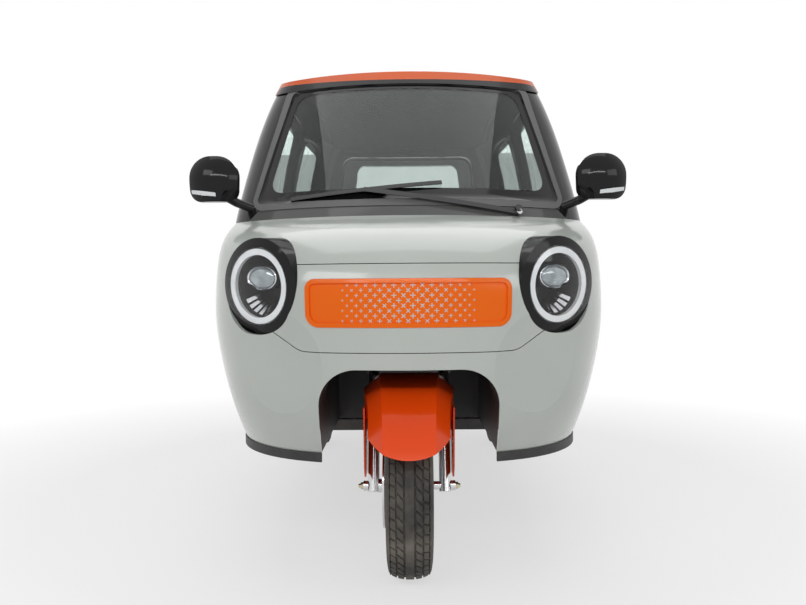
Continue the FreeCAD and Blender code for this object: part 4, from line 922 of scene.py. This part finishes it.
def make_mirror_indicator(side, label):
    bm = bmesh.new()
    for lift in INDICATOR_LIFTS:
        rows = []
        for height, sag in INDICATOR_EDGES:
            row = []
            for k in range(INDICATOR_STEPS + 1):
                share = k / INDICATOR_STEPS
                x = INDICATOR_START + INDICATOR_LENGTH * share
                z = height + INDICATOR_RISE * share + sag * abs(share - 0.5)
                y = -math.sqrt((MIRROR_BALL_RADIUS + lift) ** 2 - x * x - z * z)
                row.append(bm.verts.new(sided(side, MIRROR_BALL.x + x, MIRROR_BALL.y + y,
                                              MIRROR_BALL.z + z)))
            rows.append(row)
        bridge(bm, rows, closed=False)
    piece_from("mirror_indicator_" + label, bm, "lamp_white", "chassis")


for side, label in SIDES:
    make_mirror_indicator(side, label)


# Seats: padded forms, blown up by a short cloth simulation, then sewn
DRIVER_CHANNELS = (-0.14, 0.0, 0.14)
REAR_CHANNELS = (-0.26, -0.09, 0.09, 0.26)
SEATS = [
    # name, node, side profile of (behind the front axle, height), half width, sewn channels
    ("driver_cushion", "front_seat", [
        (0.660, 0.603), (1.096, 0.603), (1.096, 0.682), (0.880, 0.690), (0.700, 0.697),
        (0.662, 0.672)], 0.281, DRIVER_CHANNELS),
    ("driver_backrest", "front_seat", [
        (1.052, 0.700), (1.104, 0.700), (1.205, 1.140), (1.150, 1.145), (1.133, 1.120)],
        0.258, DRIVER_CHANNELS),
    ("rear_cushion", "rear_bench", [
        (1.376, 0.541), (1.784, 0.541), (1.784, 0.625), (1.580, 0.630), (1.420, 0.635),
        (1.376, 0.610)], 0.393, REAR_CHANNELS),
    ("rear_backrest", "rear_bench", [
        (1.752, 0.640), (1.792, 0.640), (1.860, 1.070), (1.812, 1.075), (1.800, 1.050)],
        0.378, REAR_CHANNELS),
]
SEAT_VOXEL = 0.011
SEAT_BEVEL = 0.018
SEAT_FOOT = 0.001
SWELL_PRESSURE = 3.0
SWELL_FRAMES = 16
SWELL_CAP = 0.020
CHANNEL_DEPTH = 0.006
CHANNEL_WIDTH = 0.007
CHANNEL_REACH = 0.03
STITCH_PITCH = 0.0085
STITCH_ASIDE = 0.009
STITCH_LIFT = 0.0002
STITCH_RINGS = ((-0.0032, 0.0002), (-0.0026, 0.0007), (0.0, 0.0009), (0.0026, 0.0007),
                (0.0032, 0.0002))
SEWING_REACH = 0.3


def swell(piece):
    """Cloth pressure on the closed form, with each point's movement capped."""
    start = [vert.co.copy() for vert in piece.data.vertices]
    cloth = piece.modifiers.new("swell", "CLOTH")
    cloth.settings.use_pressure = True
    cloth.settings.uniform_pressure_force = SWELL_PRESSURE
    cloth.settings.effector_weights.gravity = 0.0
    cloth.settings.quality = 4
    cloth.point_cache.frame_start = 1
    cloth.point_cache.frame_end = SWELL_FRAMES
    scene = bpy.context.scene
    for step in range(1, SWELL_FRAMES + 1):
        scene.frame_set(step)
    moved = applied(piece)
    piece.modifiers.clear()
    for vert, first, last in zip(piece.data.vertices, start, moved.vertices):
        shift = last.co - first
        if shift.length > SWELL_CAP:
            shift *= SWELL_CAP / shift.length
        vert.co = first + shift
    scene.frame_set(1)


def padded_form(name, profile, half_width, channels):
    """A cushion from its side profile, drawn in along its channels."""
    bm = bmesh.new()
    ends = [[bm.verts.new((x, behind(b), z)) for b, z in profile]
            for x in (-half_width, half_width)]
    for end in ends:
        bm.faces.new(end)
    bridge(bm, ends)
    bmesh.ops.recalc_face_normals(bm, faces=bm.faces)
    bmesh.ops.bevel(bm, geom=bm.edges[:], offset=SEAT_BEVEL, segments=3, affect="EDGES",
                    profile=0.6)
    piece = placed(name, mesh_of(name, bm))
    remesh = piece.modifiers.new("cells", "REMESH")
    remesh.mode = "VOXEL"
    remesh.voxel_size = SEAT_VOXEL
    piece.data = applied(piece)
    piece.modifiers.clear()
    swell(piece)
    floor = min(z for b, z in profile) + SEAT_FOOT
    for vert in piece.data.vertices:
        for x in channels:
            gap = abs(vert.co.x - x)
            if gap < CHANNEL_REACH and vert.normal.z > -0.5:
                vert.co -= vert.normal * CHANNEL_DEPTH * math.exp(-(gap / CHANNEL_WIDTH) ** 2)
        if vert.co.z < floor:
            vert.co.z = floor
    divide = piece.modifiers.new("smooth", "SUBSURF")
    divide.levels = 1
    divide.render_levels = 1
    piece.data.materials.append(MATERIALS["seat_leather"])
    return settled(piece, "chassis", 180.0)


def stitch_mark():
    """A short thick thread along X, facing +Z."""
    bm = bmesh.new()
    rings = [[bm.verts.new((x, *polar(radius, a * math.pi / 3))) for a in range(6)]
             for x, radius in STITCH_RINGS]
    bridge(bm, rings)
    bm.faces.new(rings[0])
    bm.faces.new(rings[-1])
    return bm


def stitch_places(piece, start, stop, toward):
    """Places beside each channel, from start to stop, found by looking toward the cushion."""
    skin = surface_of(piece.name)
    steps = int((stop - start).length / STITCH_PITCH)
    places = []
    for x in DRIVER_CHANNELS:
        for side in (-1, 1):
            for k in range(steps):
                spot = start.lerp(stop, (k + 0.5) / steps)
                spot += Vector((x + side * STITCH_ASIDE, 0, 0))
                found, facing = met(skin, spot - toward * SEWING_REACH, toward)
                if found is not None:
                    places.append((found + facing * STITCH_LIFT, facing,
                                   (stop - start).normalized(), 1.0))
    return places


def make_seats():
    made = {}
    for name, node, profile, half_width, channels in SEATS:
        made[name] = padded_form(name, profile, half_width, channels)
    for name, node, *rest in SEATS:
        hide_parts(node)
    places = stitch_places(made["driver_cushion"], Vector((0, behind(0.70), 0.7)),
                           Vector((0, behind(1.04), 0.7)), -UP)
    places += stitch_places(made["driver_backrest"], Vector((0, behind(1.08), 0.76)),
                            Vector((0, behind(1.15), 1.11)), BACKWARD)
    scatter("driver_stitches", stitch_mark(), places, "thread", "chassis")


make_seats()


# Linings: thin trim that follows the inside of the roof and doors, made near-black as painted shade
# so that the cabin reads dark through the glass
HEADLINER_GRID = ((-0.41, 0.41, 29), (0.44, 1.90, 47))
HEADLINER_START = 1.20
# Lengths behind the front axle and heights, each with its number of lines
CARD_GRID = ((0.375, 1.13, 30), (0.41, 0.93, 24))
QUARTER_GRID = ((1.24, 1.90, 26), (0.56, 0.94, 16))
LINING_START = 0.30


def lining(name, node, grid, toward, lift, thickness, body):
    """A closed sheet lying just inside a node, sampled over a grid of start places."""
    skin = surface_of(node)
    direction = Vector(toward)
    rows = []
    for line in grid:
        spots = [met(skin, place, direction)[0] for place in line]
        rows.append([None if spot is None else spot - direction * lift for spot in spots])
    bm = bmesh.new()
    near, far = ([[None if p is None else bm.verts.new(p - direction * depth) for p in row]
                  for row in rows] for depth in (0.0, thickness))
    full = {}
    for i in range(len(rows) - 1):
        for j in range(len(rows[0]) - 1):
            corners = ((i, j), (i + 1, j), (i + 1, j + 1), (i, j + 1))
            if all(rows[a][b] is not None for a, b in corners):
                full[i, j] = corners
    for corners in full.values():
        bm.faces.new([near[a][b] for a, b in corners])
        bm.faces.new([far[a][b] for a, b in reversed(corners)])
    for (i, j), corners in full.items():
        for k, (di, dj) in enumerate(((0, -1), (1, 0), (0, 1), (-1, 0))):
            if (i + di, j + dj) not in full:
                (a, b), (c, d) = corners[k], corners[(k + 1) % 4]
                bm.faces.new((near[a][b], near[c][d], far[c][d], far[a][b]))
    loose = [vert for vert in bm.verts if not vert.link_faces]
    bmesh.ops.delete(bm, geom=loose, context="VERTS")
    # The sheet is near-black: painted shade inside the cabin
    piece_from(name, bm, "lining_grey", body, 60.0)


def spaced(start, stop, count):
    return [start + (stop - start) * k / (count - 1) for k in range(count)]


def side_grid(side, lengths, heights):
    """Start places in the cabin, from which the lines run sideways."""
    return [[(side * LINING_START, behind(b), z) for z in spaced(*heights)]
            for b in spaced(*lengths)]


def make_linings():
    widths, lengths = HEADLINER_GRID
    grid = [[(x, behind(b), HEADLINER_START) for x in spaced(*widths)] for b in spaced(*lengths)]
    lining("headliner", "roof_panel", grid, UP, 0.0008, 0.003, "chassis")
    for side, label in SIDES:
        across = (side, 0, 0)
        lining("door_card_" + label, "door_panel_" + label, side_grid(side, *CARD_GRID), across,
               0.0006, 0.004, "door_" + label)
        lining("quarter_lining_" + label, "quarter_panels", side_grid(side, *QUARTER_GRID), across,
               0.0006, 0.004, "chassis")


make_linings()


# Controls in the cabin
HEAD_OFFSET = 0.032
BAR_HEIGHT = 0.800
GRIP_START = (0.205, 0.064, 0.030)
GRIP_STOP = (0.333, 0.096, 0.030)
GRIP_RINGS = 22
GRIP_MARGIN = 0.006
GRIP_RING = ((0.0, 0.0165), (0.0012, 0.0176), (0.0034, 0.0176), (0.0044, 0.0165))
LEVER_FROM_INNER = ((-0.03, -0.012, 0.0), (0.0, -0.045, 0.004), (0.06, -0.045, 0.002))
LEVER_FROM_OUTER = (-0.01, -0.052, 0.0)
LEVER_RADIUS = 0.0045
DISPLAY_LOW = (-0.095, behind(0.150), 0.9555)
DISPLAY_HIGH = (0.095, behind(0.185), 1.000)
DISPLAY_TILT = math.radians(-25)
VENT_MIDDLES = (-0.33, 0.33)
VENT_HALF_WIDTH = 0.055
VENT_SLATS = 5
VENT_FOOT = 0.868
VENT_PITCH = 0.011
SLAT_THICKNESS = 0.003


def bar_middle():
    """Place of the handlebar's clamp, up the steering axis from the front axle."""
    up = Vector((0, math.sin(STEER_RAKE), math.cos(STEER_RAKE)))
    forward = Vector((0, -math.cos(STEER_RAKE), math.sin(STEER_RAKE)))
    return FRONT_AXLE - forward * HEAD_OFFSET + up * BAR_HEIGHT


def make_handlebar_parts(side, label):
    """A ribbed grip, a brake lever and a switch pod."""
    inner = bar_middle() + sided(side, *GRIP_START)
    outer = bar_middle() + sided(side, *GRIP_STOP)
    length = (outer - inner).length
    profile = [(0.0, 0.0112), (0.0, 0.019), (0.003, 0.0195)]
    for k in range(GRIP_RINGS):
        at = GRIP_MARGIN + (length - 2 * GRIP_MARGIN) * k / GRIP_RINGS
        profile += [(at + along, radius) for along, radius in GRIP_RING]
    profile += [(length, 0.0175), (length + 0.003, 0.012), (length + 0.003, 0.0)]
    bm = bmesh.new()
    lathe_along(bm, profile, 28, inner, (outer - inner).normalized())
    piece_from("grip_" + label, bm, "tyre_rubber", "steering", 50.0)
    lever = [inner + sided(side, *shift) for shift in LEVER_FROM_INNER]
    lever.append(outer + sided(side, *LEVER_FROM_OUTER))
    pipe("brake_lever_" + label, lever, LEVER_RADIUS, "rim_alloy", "steering")
    bm = bmesh.new()
    block(bm, inner + Vector((-0.022 - side * 0.02, -0.022, -0.018)),
          inner + Vector((0.022 - side * 0.02, 0.018, 0.020)), 0.005)
    piece_from("switch_pod_" + label, bm, "trim_black", "steering")


def make_dashboard_parts():
    bm = bmesh.new()
    block(bm, DISPLAY_LOW, DISPLAY_HIGH, 0.007, Matrix.Rotation(DISPLAY_TILT, 3, "X"))
    piece_from("display_hood", bm, "trim_black", "chassis")
    bm = bmesh.new()
    for x in VENT_MIDDLES:
        for k in range(VENT_SLATS):
            z = VENT_FOOT + k * VENT_PITCH
            block(bm, (x - VENT_HALF_WIDTH, behind(0.255), z),
                  (x + VENT_HALF_WIDTH, behind(0.266), z + SLAT_THICKNESS), 0.0008)
    piece_from("dashboard_vents", bm, "gloss_black", "chassis")


for side, label in SIDES:
    make_handlebar_parts(side, label)
make_dashboard_parts()


# Door handles, set where the door's skin is
HANDLE_BEHIND = 1.075
HANDLE_HEIGHT = 0.875
CUP_HALF = Vector((0.004, 0.065, 0.020))
HANDLE_LINE = ((0.003, -0.058), (0.022, -0.052), (0.024, 0.0), (0.022, 0.052), (0.003, 0.058))
HANDLE_RISE = 0.006
HANDLE_RADIUS = 0.0065
LOCK_PROFILE = [(-0.002, 0.0), (-0.002, 0.011), (0.003, 0.011), (0.0042, 0.009), (0.0042, 0.0)]
LOCK_AHEAD = 0.095


def make_door_handle(side, label):
    """A cup with a bar across it, and a lock ahead of it."""
    body = "door_" + label
    start = (side * 1.0, behind(HANDLE_BEHIND), HANDLE_HEIGHT)
    spot, facing = met(surface_of("door_panel_" + label), start, (-side, 0, 0))
    turn = Matrix.Rotation(math.atan2(-facing.z * side, abs(facing.x)) * side, 3, "Y")
    bm = bmesh.new()
    block(bm, spot - CUP_HALF, spot + CUP_HALF, 0.0035, turn, spot)
    piece_from("handle_cup_" + label, bm, "gloss_black", body)
    line = [spot + sided(side, out, along, HANDLE_RISE) for out, along in HANDLE_LINE]
    pipe("handle_bar_" + label, line, HANDLE_RADIUS, "gloss_black", body, sides=5)
    bm = bmesh.new()
    lathe_along(bm, LOCK_PROFILE, 32, spot - Vector((0, LOCK_AHEAD, 0)), facing)
    piece_from("door_lock_" + label, bm, "fork_chrome", body)


for side, label in SIDES:
    make_door_handle(side, label)


# Fasteners: hexagon nuts on the hubs and the spindle, and the wiper's pivot nut
NUT_RINGS = ((-0.1, 1.12), (0.75, 1.12), (0.9, 0.98), (0.9, 0.72), (1.35, 0.66), (1.6, 0.45))
WHEEL_NUTS = 4
WHEEL_NUT_TURN = 0.4
WHEEL_NUT_CIRCLE = 0.024
WHEEL_NUT_SIZE = 0.0055
HUB_FACE = 0.050
SPINDLE_HALF = 0.122
SPINDLE_NUT_SIZE = 0.0085
PIVOT_START = (0.307, -1.6, 0.968)
PIVOT_PROFILE = [(-0.003, 0.0), (-0.003, 0.0085), (0.002, 0.0085), (0.0032, 0.0075), (0.0036, 0.0)]
PIVOT_FACING = Vector((0, -1, 0.3)).normalized()


def nut_mark():
    """A domed hexagon nut of unit across-flats radius, facing +Z."""
    bm = bmesh.new()
    rings = [[bm.verts.new((*polar(radius, a * math.pi / 3), z)) for a in range(6)]
             for z, radius in NUT_RINGS]
    bridge(bm, rings)
    bm.faces.new(rings[-1])
    bm.faces.new(rings[0])
    return bm


def make_nuts():
    for side, label in SIDES:
        places = []
        for k in range(WHEEL_NUTS):
            y, z = polar(WHEEL_NUT_CIRCLE, math.tau * k / WHEEL_NUTS + WHEEL_NUT_TURN)
            place = sided(side, REAR_TRACK / 2 + HUB_FACE, REAR_AXLE.y + y, REAR_AXLE.z + z)
            places.append((place, Vector((side, 0, 0)), UP, WHEEL_NUT_SIZE))
        scatter("wheel_nuts_" + label, nut_mark(), places, "fork_chrome", "rear_wheel_" + label)
    places = [(FRONT_AXLE + Vector((side * SPINDLE_HALF, 0, 0)), Vector((side, 0, 0)), UP,
               SPINDLE_NUT_SIZE) for side, label in SIDES]
    scatter("spindle_nuts", nut_mark(), places, "zinc", "steering")


def make_wiper_nut():
    spot, facing = met(surface_of("wiper"), PIVOT_START, BACKWARD)
    bm = bmesh.new()
    lathe_along(bm, PIVOT_PROFILE, 24, spot, PIVOT_FACING)
    piece_from("wiper_nut", bm, "fork_chrome", "chassis")


make_nuts()
make_wiper_nut()


# Stage, lamps and camera
WHITE_FROM = 1.3
WHITE_BY = 2.6
WHITE_NEAR = 0.62
FLOOR_HALF = 14.0
FLOOR_ROUGHNESS = 0.9
WHITE = (1.0, 1.0, 1.0, 1.0)
AMBIENT = 0.22
LAMPS = [
    # name, place, width and height of the lamp, power in watts
    ("key_softbox", (-2.6, -4.2, 3.2), (2.4, 1.2), 34.0),
    ("fill_softbox", (3.4, -3.6, 2.4), (2.4, 1.2), 20.0),
    ("back_softbox", (0.0, 4.6, 2.8), (3.0, 1.5), 25.0),
    ("top_softbox", (0.0, 0.3, 4.4), (4.0, 3.6), 62.0),
    ("front_tube", (0.0, -4.3, 2.5), (3.8, 0.2), 34.0),
]
LAMP_TARGET = Vector((0.0, -0.3, 0.7))
CAMERA_PLACE = Vector((0.0, -2.907, 0.774))
CAMERA_PITCH = math.radians(1.5)
CAMERA_ROLL = math.radians(-0.4)
CAMERA_YAW = math.radians(0.4)
CAMERA_LENS = 33.4
CAMERA_SENSOR = 36.0


def make_stage():
    """A pale floor that keeps the shadow near the vehicle and runs into the white far from it."""
    mesh = bpy.data.meshes.new("floor")
    half = FLOOR_HALF
    mesh.from_pydata([(-half, -half, 0), (half, -half, 0), (half, half, 0), (-half, half, 0)], [],
                     [(0, 1, 2, 3)])
    floor = placed("floor", mesh)
    material, net, shader = new_material("floor_pale")
    coords = net.coordinates()
    noise = net.noise(coords, 1.2, 3.0)
    net.link(net.mix(noise, (0.93, 0.93, 0.93, 1), (0.96, 0.96, 0.96, 1)),
             shader.inputs["Base Color"])
    set_sockets(shader, {"Roughness": FLOOR_ROUGHNESS})
    distance = net.add("ShaderNodeVectorMath", {0: coords}, operation="LENGTH").outputs["Value"]
    white = net.math("MULTIPLY", net.seen(),
                     net.span(distance, WHITE_FROM, WHITE_BY, WHITE_NEAR, 1.0))
    glow = net.add("ShaderNodeEmission", {"Color": WHITE, "Strength": 1.0})
    both = net.add("ShaderNodeMixShader", {0: white, 1: shader.outputs[0], 2: glow.outputs[0]})
    net.link(both.outputs[0], material.node_tree.nodes["Material Output"].inputs["Surface"])
    floor.data.materials.append(material)


def make_lamps():
    """Soft lamps, and a world that is white to look at and dim as a light."""
    for name, place, size, power in LAMPS:
        data = bpy.data.lights.new(name, "AREA")
        data.shape = "RECTANGLE"
        data.size, data.size_y = size
        data.energy = power
        lamp = placed(name, data)
        lamp.location = place
        lamp.rotation_euler = (LAMP_TARGET - Vector(place)).to_track_quat("-Z", "Y").to_euler()
    world = bpy.data.worlds.new("studio")
    world.use_nodes = True
    bpy.context.scene.world = world
    net = Net(world.node_tree)
    back = world.node_tree.nodes["Background"]
    net.link(net.span(net.seen(), 0.0, 1.0, AMBIENT, 1.0), back.inputs["Strength"])
    set_sockets(back, {"Color": WHITE})


def make_camera():
    data = bpy.data.cameras.new("camera")
    data.lens = CAMERA_LENS
    data.sensor_width = CAMERA_SENSOR
    camera = placed("camera", data)
    turn = Matrix.Rotation(CAMERA_YAW, 4, "Z") @ Matrix.Rotation(math.pi / 2 - CAMERA_PITCH, 4, "X")
    turn = turn @ Matrix.Rotation(CAMERA_ROLL, 4, "Z")
    camera.matrix_world = Matrix.Translation(CAMERA_PLACE) @ turn
    bpy.context.scene.camera = camera


make_stage()
make_lamps()
make_camera()
bpy.context.scene.view_settings.view_transform = "Standard"
